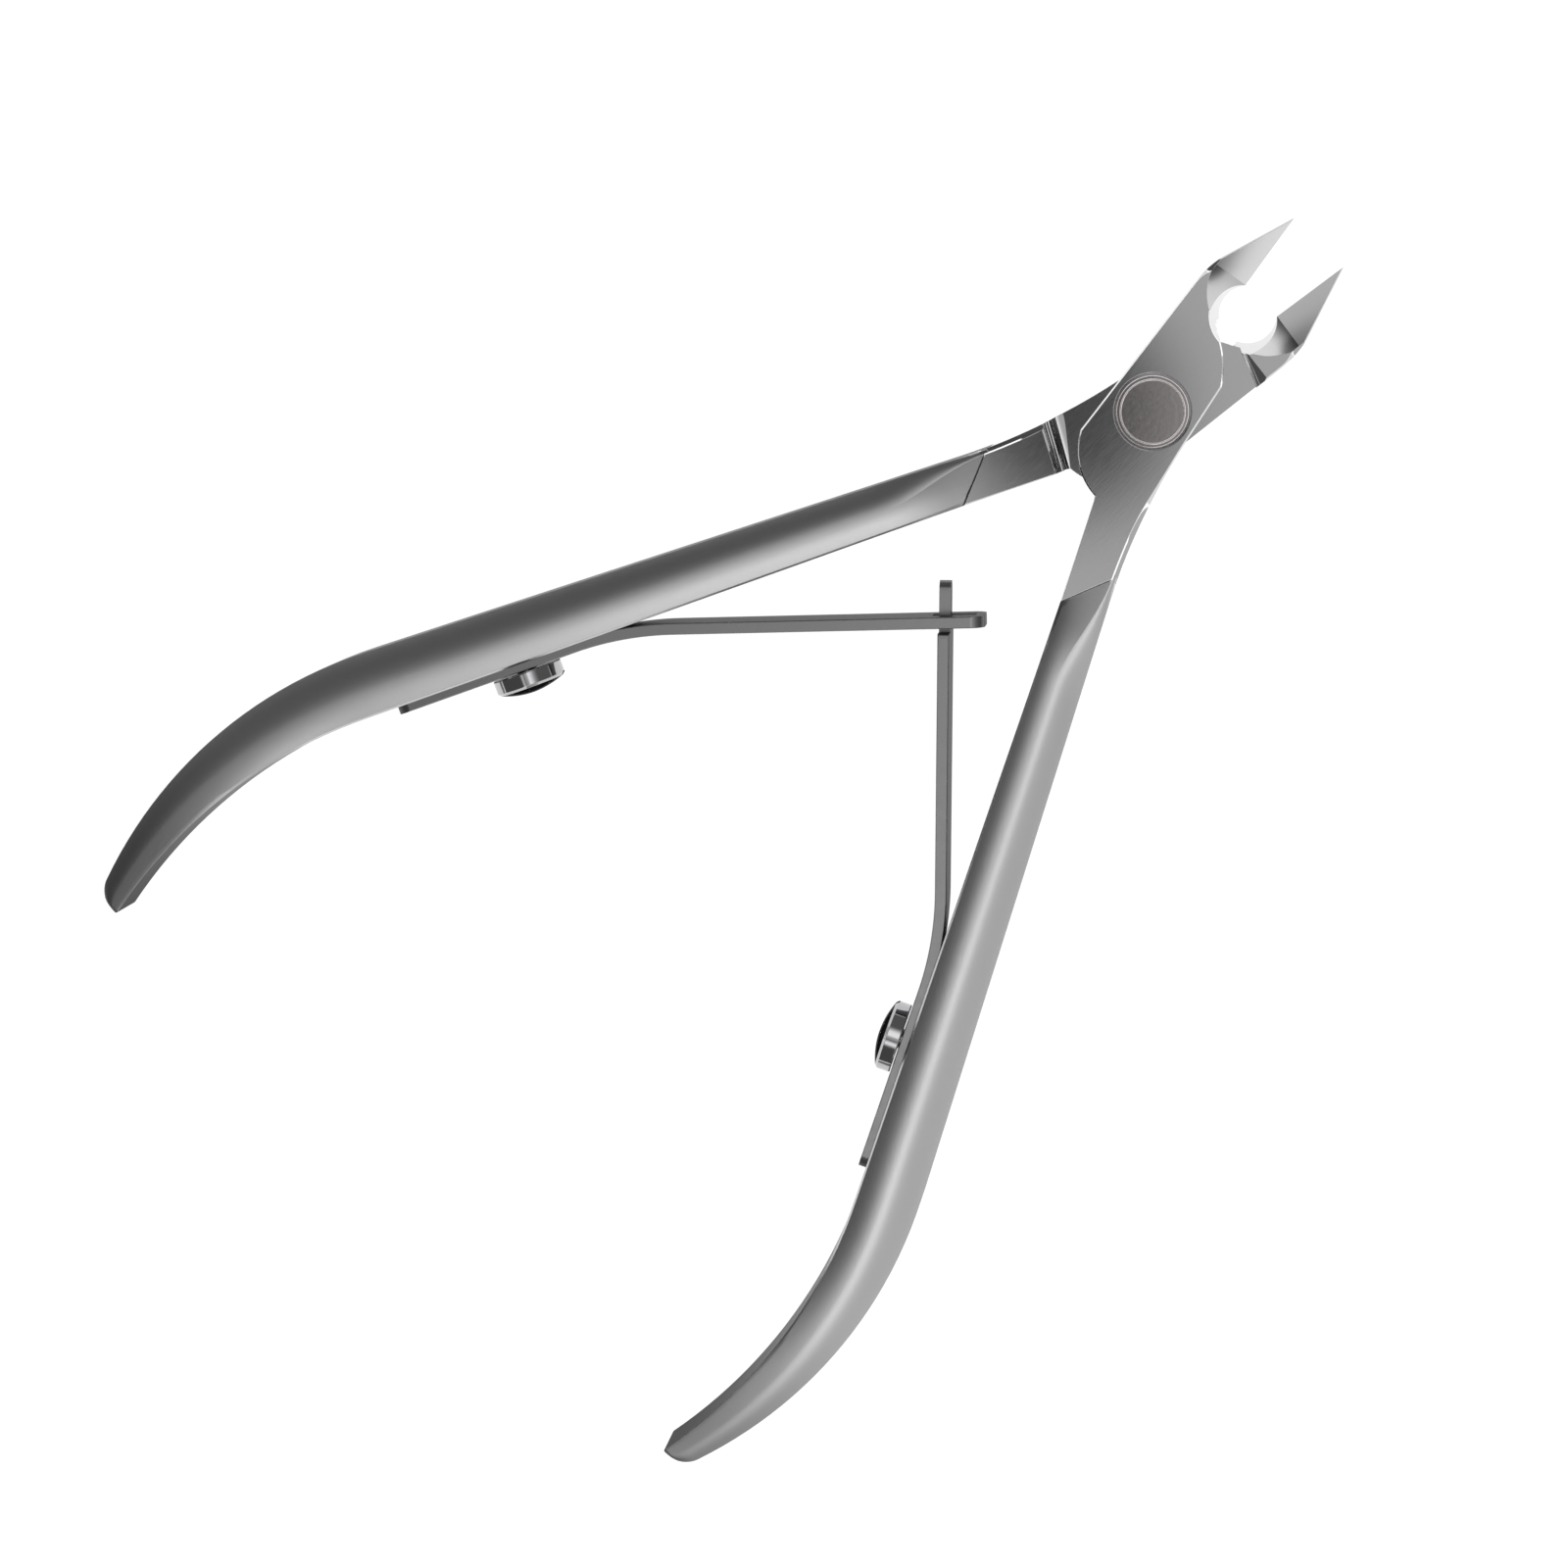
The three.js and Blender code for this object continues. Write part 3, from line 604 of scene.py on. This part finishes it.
def rivet():
    """Tail, shank and head, with a raised ring on the head's face"""
    tail_top = RIVET["tail_h"] - RIVET["clearance"]
    head_bottom = PLATE - RIVET["head_h"] + RIVET["clearance"]
    head_r, tail_r, shank = RIVET["head_r"], RIVET["tail_r"], RIVET["shank_r"]
    bead, edge = RIVET_BEAD, RIVET_EDGE
    face = PLATE + RIVET_PROUD
    top = face + bead["height"]
    profile = [(AXIS_R, 0), (tail_r - edge, 0), (tail_r, edge), (tail_r, tail_top)]
    profile += [(shank, tail_top), (shank, head_bottom), (head_r, head_bottom)]
    profile += [(head_r, face - edge), (head_r - edge, face), (bead["outer_r"], face)]
    profile += [(bead["outer_r"] - bead["height"], top), (bead["inner_r"] + bead["height"], top)]
    profile += [(bead["inner_r"], face), (AXIS_R, face)]
    return turned("rivet_face", profile)


# ---- Leaf springs, on the +Y side -----------------------------------------------------------
# A length s runs along the leaf's centre line from the start of its bend towards the crossing,
# and is negative on the straight root.


def unit_at(angle):
    """Unit vector towards the crossing, at an angle to the symmetry axis"""
    return Vector((math.cos(angle), -math.sin(angle), 0))


def bend_start():
    """Start of the bend, placed so that the straight arm meets the crossing"""
    root, arm = INNER_LINE["angle"], LEAF["arm_angle"]
    seat_y = line_y(INNER_LINE, CROSSING_X) - LEAF_OFFSET / math.cos(root)
    corner_x = CROSSING_X - seat_y / (math.tan(arm) - math.tan(root))
    corner = Vector((corner_x, (CROSSING_X - corner_x) * math.tan(arm), MID_Z))
    return corner - unit_at(root) * LEAF["bend_r"] * math.tan(LEAF_TURN / 2)


def leaf_normal(s):
    """Unit vector across the leaf at s, pointing away from the handle"""
    angle = INNER_LINE["angle"] + min(LEAF_TURN, max(0, s / LEAF["bend_r"]))
    return Vector((-math.sin(angle), -math.cos(angle), 0))


def leaf_point(s, offset):
    """Point of the leaf at s, offset from its centre line away from the handle"""
    radius = LEAF["bend_r"]
    point = bend_start() + unit_at(INNER_LINE["angle"]) * min(s, 0)
    point += (leaf_normal(0) - leaf_normal(s)) * radius
    point += unit_at(LEAF["arm_angle"]) * max(0, s - radius * LEAF_TURN)
    return point + leaf_normal(s) * offset


def crossing_length():
    """Length along the leaf from the start of its bend to the crossing"""
    bend_length = LEAF["bend_r"] * LEAF_TURN
    return bend_length + (leaf_point(bend_length, 0) - Vector((CROSSING_X, 0, MID_Z))).length


def leaf_strip():
    """The leaf at full width, with bevelled edges, in short steps along its length"""
    start, end = -ROOT_LENGTH, crossing_length() + ARM_PAST_CROSSING
    count = round((end - start) / LEAF_STEP)
    half_t, half_w, edge = LEAF["thick"] / 2, LEAF["width"] / 2, LEAF_EDGE
    section = [(-half_t, -half_w + edge), (-half_t + edge, -half_w), (half_t - edge, -half_w)]
    section += [(half_t, -half_w + edge)]
    section += [(offset, -z) for offset, z in reversed(section)]
    rings = []
    for i in range(count + 1):
        s = start + (end - start) * i / count
        ring = [leaf_point(s, offset) + Vector((0, 0, z)) for offset, z in section]
        rings.append(ring)
    return loft("leaf", rings)


def plan_cutter(outline, s, direction):
    """A thick prism across the leaf from a plan in the leaf's plane: x runs along the direction
    from the length s, y is +Z"""
    prism = layered("plan", [(-OUTSIDE / 2, outline), (OUTSIDE / 2, outline)])
    up = Vector((0, 0, 1))
    return moved(prism, frame_matrix(leaf_point(s, 0), direction, up, direction.cross(up)))


def round_ended(length, half_width, corner_r):
    """Plan of a long strip that ends at the length given, with round corners"""
    start = -2 * OUTSIDE
    x = length - corner_r
    y = half_width - corner_r
    outline = [(start, half_width), (start, -half_width)]
    return outline + arc((x, -y), corner_r, -90, 0) + arc((x, y), corner_r, 0, 90)


def bare_leaf():
    """The leaf with its root's round corners and screw hole, before its arm's end is cut"""
    root_plan = round_ended(ROOT_LENGTH, LEAF["width"] / 2 + LEAF_TRIM, LEAF_CORNER_R)
    root = plan_cutter(root_plan, 0, -unit_at(INNER_LINE["angle"]))
    radius, reach = SCREW_HOLE["radius"], 3
    hole = turned("hole", [(AXIS_R, -reach), (radius, -reach), (radius, reach), (AXIS_R, reach)])
    leaf = change(leaf_strip(), root, "INTERSECT")
    return cut(leaf, moved(hole, screw_place(0)))


def slotted_leaf():
    """The leaf with a slot at the crossing"""
    leaf = bare_leaf()
    half = LEAF["width"] / 2 + LEAF_TRIM
    outline = round_ended(ARM_PAST_CROSSING, half, LEAF_CORNER_R)
    arm = unit_at(LEAF["arm_angle"])
    change(leaf, plan_cutter(outline, crossing_length(), arm), "INTERSECT")
    half_slot = SLOT["width"] / 2
    before, after = SLOT["before"], SLOT["after"]
    slot = [(-before, -half_slot), (after, -half_slot), (after, half_slot), (-before, half_slot)]
    cut(leaf, plan_cutter(slot, crossing_length(), arm))
    leaf.name = "slotted_leaf"
    return leaf


def tongue_leaf():
    """The leaf that narrows to a tongue before the crossing, on the -Y side"""
    leaf = bare_leaf()
    half = LEAF["width"] / 2 + LEAF_TRIM
    narrow, corner = TONGUE["width"] / 2, TONGUE["shoulder_r"]
    shoulder = -TONGUE["before"]
    outline = round_ended(shoulder, half, corner)
    foot = outline.index(arc((shoulder - corner, half - corner), corner, 0, 90)[0])
    end = arc((ARM_PAST_CROSSING - narrow, 0), narrow, -90, 90)
    tongue = [(shoulder, -narrow)] + end + [(shoulder, narrow)]
    outline = outline[:foot] + tongue + outline[foot:]
    cutter = plan_cutter(outline, crossing_length(), unit_at(LEAF["arm_angle"]))
    change(leaf, cutter, "INTERSECT")
    leaf.name = "tongue_leaf"
    return mirrored(leaf)


def screw_place(offset):
    """Frame of the spring screw: +Z points away from the handle"""
    away = leaf_normal(-SCREW_BACK)
    ahead = unit_at(INNER_LINE["angle"])
    return frame_matrix(leaf_point(-SCREW_BACK, offset), ahead, away.cross(ahead), away)


def spring_screw(name):
    """Screw with a plain shank, a cylindrical rim and a slotted dome"""
    head_r, rim_h, dome_h, bevel = (SCREW[key] for key in ("head_r", "rim_h", "dome_h", "bevel"))
    shank, length = SCREW["shank_r"], SCREW["length"]
    end, foot = SCREW_CHAMFER["end"], SCREW_CHAMFER["foot"]
    profile = [(AXIS_R, -length), (shank - end, -length), (shank, end - length), (shank, 0)]
    profile += [(head_r - foot, 0), (head_r, foot), (head_r, rim_h - bevel)]
    profile.append((head_r - bevel, rim_h))
    for i in range(1, DOME_STEPS + 1):
        share = 1 - i / DOME_STEPS
        profile.append(((head_r - bevel) * share + AXIS_R, rim_h + dome_h * (1 - share**2)))
    screw = turned(name, profile)
    top = rim_h + dome_h
    half, depth = DRIVE_SLOT["width"] / 2, DRIVE_SLOT["depth"]
    reach = head_r * DRIVE_SLOT["reach"]
    plan = [(-reach, -half), (reach, -half), (reach, half), (-reach, half)]
    cut(screw, layered("drive", [(top - depth, plan), (top + 1, plan)]))
    screw.name = name
    return moved(screw, screw_place(LEAF["thick"] / 2 + SCREW["gap"]))


# ---- Materials ------------------------------------------------------------------------------


class Steel:
    """A metal material with fine procedural relief, built node by node"""

    def __init__(self, name, color, roughness):
        self.material = bpy.data.materials.new(name)
        self.material.use_nodes = True
        self.nodes = self.material.node_tree.nodes
        self.links = self.material.node_tree.links
        self.shader = self.nodes["Principled BSDF"]
        self.shader.inputs["Base Color"].default_value = (*color, 1)
        self.shader.inputs["Metallic"].default_value = 1
        self.shader.inputs["Roughness"].default_value = roughness

    def add(self, kind, **settings):
        """A new node with the settings given"""
        node = self.nodes.new(kind)
        for key, value in settings.items():
            setattr(node, key, value)
        return node

    def noise(self, scale, stretch=(1, 1, 1), detail=2.0):
        """Noise in object coordinates, with the scale in features per metre"""
        place = self.add("ShaderNodeTexCoord")
        mapping = self.add("ShaderNodeMapping")
        mapping.inputs["Scale"].default_value = stretch
        texture = self.add("ShaderNodeTexNoise")
        texture.inputs["Scale"].default_value = scale
        texture.inputs["Detail"].default_value = detail
        self.links.new(place.outputs["Object"], mapping.inputs["Vector"])
        self.links.new(mapping.outputs["Vector"], texture.inputs["Vector"])
        return texture.outputs["Fac"]

    def vary_roughness(self, value, low, high):
        """Roughness that follows a pattern between two values"""
        span = self.add("ShaderNodeMapRange")
        span.inputs["To Min"].default_value = low
        span.inputs["To Max"].default_value = high
        self.links.new(value, span.inputs["Value"])
        self.links.new(span.outputs["Result"], self.shader.inputs["Roughness"])

    def shade_along_x(self, start, end, first, last):
        """Base colour that goes from one grey to another between two X positions, as painted shade
        """
        place = self.add("ShaderNodeTexCoord")
        split = self.add("ShaderNodeSeparateXYZ")
        span = self.add("ShaderNodeMapRange", interpolation_type="SMOOTHSTEP")
        for socket, value in zip(("From Min", "From Max"), (start * MM, end * MM)):
            span.inputs[socket].default_value = value
        for socket, value in zip(("To Min", "To Max"), (first, last)):
            span.inputs[socket].default_value = value
        self.links.new(place.outputs["Object"], split.inputs["Vector"])
        self.links.new(split.outputs["X"], span.inputs["Value"])
        self.links.new(span.outputs["Result"], self.shader.inputs["Base Color"])

    def darken_grazing(self, tint):
        """Dims what the steel mirrors where it is seen edge-on"""
        self.shader.inputs["Specular Tint"].default_value = (tint, tint, tint, 1)

    def relief(self, value, depth, edge_radius):
        """Bumps of the given depth in millimetres over edges rounded by the given radius"""
        edge = self.add("ShaderNodeBevel", samples=6)
        edge.inputs["Radius"].default_value = edge_radius * MM
        bump = self.add("ShaderNodeBump")
        bump.inputs["Strength"].default_value = 1
        bump.inputs["Distance"].default_value = depth * MM
        self.links.new(value, bump.inputs["Height"])
        self.links.new(edge.outputs["Normal"], bump.inputs["Normal"])
        self.links.new(bump.outputs["Normal"], self.shader.inputs["Normal"])


def ground_steel():
    """Ground and lightly polished flats"""
    steel = Steel("ground_steel", (0.62, 0.62, 0.625), 0.06)
    grain = steel.noise(900, (1, 9, 1))
    steel.vary_roughness(grain, 0.045, 0.075)
    steel.relief(grain, 0.0002, 0.06)
    return steel.material


def facet_steel(name, tone):
    """Blade facet as left by the grinding wheel, in the grey given by tone, which is lighter on the
    front blade as painted light and darker on the back blade as painted shade
    """
    steel = Steel(name, (tone, tone, tone), 0.3)
    grain = steel.noise(1500, (1, 1, 8))
    steel.vary_roughness(grain, 0.26, 0.34)
    steel.relief(grain, 0.0006, 0.06)
    return steel.material


def scoop_steel(name, dark, light):
    """Scoop between a blade and its joint plate, with painted shade that darkens it towards the
    blade
    """
    steel = Steel(name, (light, light, light), 0.16)
    steel.shade_along_x(*SCOOP_SHADE_SPAN, light, dark)
    steel.relief(steel.noise(1500, (1, 1, 8)), 0.0006, 0.06)
    return steel.material


def satin_steel(name, start, end, first, last):
    """Bead-blasted handle, with painted shade: its grey goes from first to last between two X
    positions
    """
    steel = Steel(name, (last, last, last), 0.3)
    steel.darken_grazing(0.12)
    steel.shade_along_x(start, end, first, last)
    grain = steel.noise(7000, detail=3)
    steel.vary_roughness(grain, 0.27, 0.35)
    steel.relief(grain, 0.006, 0.08)
    return steel.material


def rivet_steel():
    """Turned rivet face, a little warmer than the halves"""
    steel = Steel("rivet_steel", (0.52, 0.49, 0.485), 0.07)
    grain = steel.noise(2500)
    steel.vary_roughness(grain, 0.06, 0.09)
    steel.relief(grain, 0.0006, 0.04)
    return steel.material


def spring_steel():
    """Cold-rolled strip"""
    steel = Steel("spring_steel", (0.3, 0.3, 0.305), 0.28)
    steel.darken_grazing(0.2)
    grain = steel.noise(1500, (1, 1, 6))
    steel.vary_roughness(grain, 0.24, 0.34)
    steel.relief(grain, 0.001, 0.05)
    return steel.material


def bright_screw():
    """Bright nickel plate"""
    steel = Steel("bright_screw", (0.47, 0.47, 0.48), 0.08)
    grain = steel.noise(1200)
    steel.vary_roughness(grain, 0.06, 0.11)
    steel.relief(grain, 0.0005, 0.06)
    return steel.material


def dark_screw():
    """Dark dome of a spring screw"""
    steel = Steel("dark_screw", (0.09, 0.09, 0.095), 0.22)
    steel.darken_grazing(0.15)
    steel.relief(steel.noise(1200), 0.0005, 0.06)
    return steel.material


def floor_paint():
    """Pale board that glows, as a light table does"""
    material = bpy.data.materials.new("floor_paint")
    material.use_nodes = True
    shader = material.node_tree.nodes["Principled BSDF"]
    shader.inputs["Base Color"].default_value = (0.25, 0.25, 0.25, 1)
    shader.inputs["Roughness"].default_value = 0.9
    shader.inputs["Emission Color"].default_value = (1, 1, 1, 1)
    shader.inputs["Emission Strength"].default_value = 0.97
    return material


# ---- Pieces ---------------------------------------------------------------------------------


def past_flat(x, y):
    """Distance past the oblique line that ends the ground flats on each handle"""
    inner = Vector((FLAT_END["inner"], inner_edge(FLAT_END["inner"])))
    outer = Vector((FLAT_END["outer"], outer_edge(FLAT_END["outer"])))
    across = outer - inner
    return (across.x * (abs(y) - inner.y) - across.y * (x - inner.x)) / across.length


def inside_ridge(x, y):
    """True between a handle's inner edge and its crown, in the stretch beside the flats"""
    share = (abs(y) - inner_edge(x)) / (outer_edge(x) - inner_edge(x))
    return x > MORPH_END_X and share < ridge_share(x)


def finish_piece(made, materials, smooth_angle):
    """Scales a piece to metres, shades it smooth and gives it its materials"""
    mesh = made.data
    mesh.transform(Matrix.Diagonal((MM, MM, MM, 1)))
    mesh.materials.clear()
    for material in materials:
        mesh.materials.append(material)
    mesh.shade_smooth()
    mesh.set_sharp_from_angle(angle=math.radians(smooth_angle))
    return made


def blade_normal(side):
    """Normal of the ground facet on the front blade (side 1) or the back blade (side -1)"""
    flat = math.sin(FACET_SLOPE)
    across = Vector((math.sin(EDGE_ANGLE), -side * math.cos(EDGE_ANGLE), 0)) * flat
    return across + Vector((0, 0, math.cos(FACET_SLOPE)))


def finish_half(made, materials, side):
    """Ground flats, satin handle, blade facet and scoop, and satin with painted shade beside the
    flats' oblique end, told apart by place and normal
    """
    finish_piece(made, materials, HALF_SHARP_ANGLE)
    facet = blade_normal(side)
    radial = Vector((math.cos(EDGE_ANGLE), side * math.sin(EDGE_ANGLE), 0))
    down_slope = radial.cross(facet)
    low, high = CHAMFER_RISE
    for face in made.data.polygons:
        centre = face.center / MM
        past = past_flat(centre.x, centre.y)
        chamfer = low < abs(face.normal.z) < high and past < EDGE_CHAMFER / 2
        on_handle = past > -2 * EDGE_CHAMFER and not chamfer
        on_blade = centre.x > THROAT["x"] - BLADE_ROOM and side * centre.y > 0
        in_scoop = abs(face.normal.dot(down_slope)) < SCOOP_MATCH and face.normal.z > SCOOP_RISE
        face.material_index = SATIN if on_handle else GROUND
        if on_blade and face.normal.dot(facet) > FACET_MATCH:
            face.material_index = FACET
        # Between the inner edge and the crown beside the flats, the satin gets painted shade
        elif on_handle and inside_ridge(centre.x, centre.y):
            face.material_index = CREASE_SHADE
        elif on_blade and in_scoop:
            face.material_index = SCOOPED
    return made


def finish_screw(made, materials):
    """A screw with a bright shank and rim, and a dark dome"""
    finish_piece(made, materials, SMALL_SHARP_ANGLE)
    away = leaf_normal(-SCREW_BACK)
    start = leaf_point(-SCREW_BACK, LEAF["thick"] / 2 + SCREW["gap"])
    for face in made.data.polygons:
        centre = face.center / MM
        centre.y = abs(centre.y)
        face.material_index = DOME if (centre - start).dot(away) > SCREW["rim_h"] else RIM
    return made


def blend_leaf(leaf):
    """The leaf is not bent between its clamped root and its arm: its placement is baked into its
    mesh, and the points found round the arm's hinge go unused
    """
    for s in (ARM_HINGE_S - BLEND_REACH, ARM_HINGE_S + BLEND_REACH):
        point = leaf_point(s, 0)
    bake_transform(leaf)


def build_pieces():
    """Makes the seven pieces, puts five of them on their bodies, and hides the nodes each piece
    replaces
    """
    ground = ground_steel()
    # Painted shade: the handles' satin darkens towards their curved ends, and a second copy darkens
    # beside the flats' oblique end
    satin = satin_steel("satin_steel", HANDLE_END_X, END_SHADE_X, PAINTED_SHADE_GREY, HANDLE_GREY)
    crease_shade_satin = satin_steel("satin_painted_crease_shade", MORPH_END_X, FLAT_END["inner"], HANDLE_GREY, PAINTED_SHADE_GREY)
    spring, screws = spring_steel(), [bright_screw(), dark_screw()]
    # Lit and shaded copies of the blade steels: the front blade's facet and scoop are lighter as
    # painted light, the back blade's are darker as painted shade
    lit_blade_steels = [facet_steel("lit_facet_painted_light", 0.64), scoop_steel("lit_scoop_painted_light", 0.42, 0.55)]
    plain = [facet_steel("shaded_facet_painted_shade", 0.38), scoop_steel("shaded_scoop", 0.05, 0.6)]
    front = finish_half(front_half(), [ground, satin] + lit_blade_steels + [crease_shade_satin], 1)
    back = finish_half(back_half(), [ground, satin] + plain + [crease_shade_satin], -1)
    pivot = finish_piece(rivet(), [rivet_steel()], SMALL_SHARP_ANGLE)
    slotted = finish_piece(slotted_leaf(), [spring], SMALL_SHARP_ANGLE)
    tongue = finish_piece(tongue_leaf(), [spring], SMALL_SHARP_ANGLE)
    slotted_screw = finish_screw(spring_screw("slotted_leaf_screw_head"), screws)
    tongue_screw = finish_screw(mirrored(spring_screw("tongue_leaf_screw_head")), screws)

    for piece, body, node in (
        (front, "front_half", "front_half"),
        (back, "back_half", "back_half"),
        (pivot, "back_half", "pivot_rivet"),
        (slotted_screw, "back_half", "slotted_leaf_screw"),
        (tongue_screw, "front_half", "tongue_leaf_screw"),
    ):
        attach(piece, body)
        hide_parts(node)
    blend_leaf(slotted)
    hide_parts("slotted_leaf_root", "slotted_leaf_arm")
    blend_leaf(tongue)
    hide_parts("tongue_leaf_root", "tongue_leaf_arm")


# ---- Studio ---------------------------------------------------------------------------------


def add_floor():
    """A plain square board that the nippers lie on"""
    half = FLOOR_HALF
    corners = [(-half, -half), (half, -half), (half, half), (-half, half)]
    floor = add_object("floor", [(x, y, FLOOR_Z * MM) for x, y in corners], [(0, 1, 2, 3)])
    floor.data.materials.append(floor_paint())


def add_camera():
    """A camera at the view's angle, looking at a target near the middle of the tool"""
    data = bpy.data.cameras.new("camera")
    data.lens = CAMERA["lens"]
    camera = bpy.data.objects.new("camera", data)
    bpy.context.scene.collection.objects.link(camera)
    lean, height = math.sin(CAMERA_TILT), math.cos(CAMERA_TILT)
    back = Vector((lean * math.cos(CAMERA_TOWARDS), lean * math.sin(CAMERA_TOWARDS), height))
    heading = Vector((math.cos(CAMERA_ROLL), math.sin(CAMERA_ROLL), 0))
    right = (heading - back * heading.dot(back)).normalized()
    position = Vector(CAMERA["target"]) + back * CAMERA["distance"]
    camera.matrix_world = frame_matrix(position * MM, right, back.cross(right), back)
    bpy.context.scene.camera = camera


class Sky:
    """The studio's soft light, as brightness by direction"""

    def __init__(self):
        self.world = bpy.data.worlds.new("studio")
        bpy.context.scene.world = self.world
        self.world.use_nodes = True
        self.nodes = self.world.node_tree.nodes
        self.links = self.world.node_tree.links
        place = self.nodes.new("ShaderNodeTexCoord")
        self.direction = place.outputs["Generated"]

    def towards(self, x, y, z):
        """Cosine of the angle between the direction looked in and the one given"""
        node = self.nodes.new("ShaderNodeVectorMath")
        node.operation = "DOT_PRODUCT"
        node.inputs[1].default_value = Vector((x, y, z)).normalized()
        self.links.new(self.direction, node.inputs[0])
        return node.outputs["Value"]

    def distance_from(self, x, y, z):
        """Distance on the unit sphere from the direction given"""
        away = self.nodes.new("ShaderNodeVectorMath")
        away.operation = "DISTANCE"
        away.inputs[1].default_value = Vector((x, y, z)).normalized()
        self.links.new(self.direction, away.inputs[0])
        return away.outputs["Value"]

    def ramp(self, value, start, end):
        """0 at start, 1 at end, with a soft S between"""
        node = self.nodes.new("ShaderNodeMapRange")
        node.interpolation_type = "SMOOTHSTEP"
        node.inputs["From Min"].default_value = start
        node.inputs["From Max"].default_value = end
        self.links.new(value, node.inputs["Value"])
        return node.outputs["Result"]

    def mix(self, factor, low, high):
        """Brightness that goes from low to high with the factor, each a number or another mix"""
        node = self.nodes.new("ShaderNodeMix")
        self.links.new(factor, node.inputs["Factor"])
        for socket, value in (("A", low), ("B", high)):
            if isinstance(value, float):
                node.inputs[socket].default_value = value
            else:
                self.links.new(value, node.inputs[socket])
        return node.outputs["Result"]


def add_sky():
    """A white horizon, bright towards -Y, dark towards +Y and towards both ends of the tool.
    Overhead is a soft grey patch with a small dark spot, which shades the ground flats."""
    sky = Sky()
    across = sky.towards(0.45, -1, 0)
    bright = sky.mix(sky.ramp(across, 0.14, 0.42), 1.6, 0.62)
    light = sky.mix(sky.ramp(across, -0.27, 0.0), 0.08, bright)
    light = sky.mix(sky.ramp(sky.towards(-1, 0.6, 0), 0.15, 0.28), light, 0.1)
    light = sky.mix(sky.ramp(sky.towards(1, 0, 0), 0.3, 0.6), light, 0.15)
    patch = sky.mix(sky.ramp(sky.distance_from(-0.062, 0.006, 1), 0.014, 0.043), 0.065, 0.56)
    light = sky.mix(sky.ramp(sky.distance_from(-0.02, 0.0, 1), 0.085, 0.24), patch, light)
    horizon = sky.ramp(sky.towards(0, 0, 1), 0.1, 0.01)
    light = sky.mix(horizon, light, 2.0)
    background = sky.nodes["Background"]
    background.inputs["Color"].default_value = (1, 1, 1, 1)
    sky.links.new(light, background.inputs["Strength"])
    bpy.context.scene.view_settings.view_transform = "Standard"


build_pieces()
add_floor()
add_camera()
add_sky()
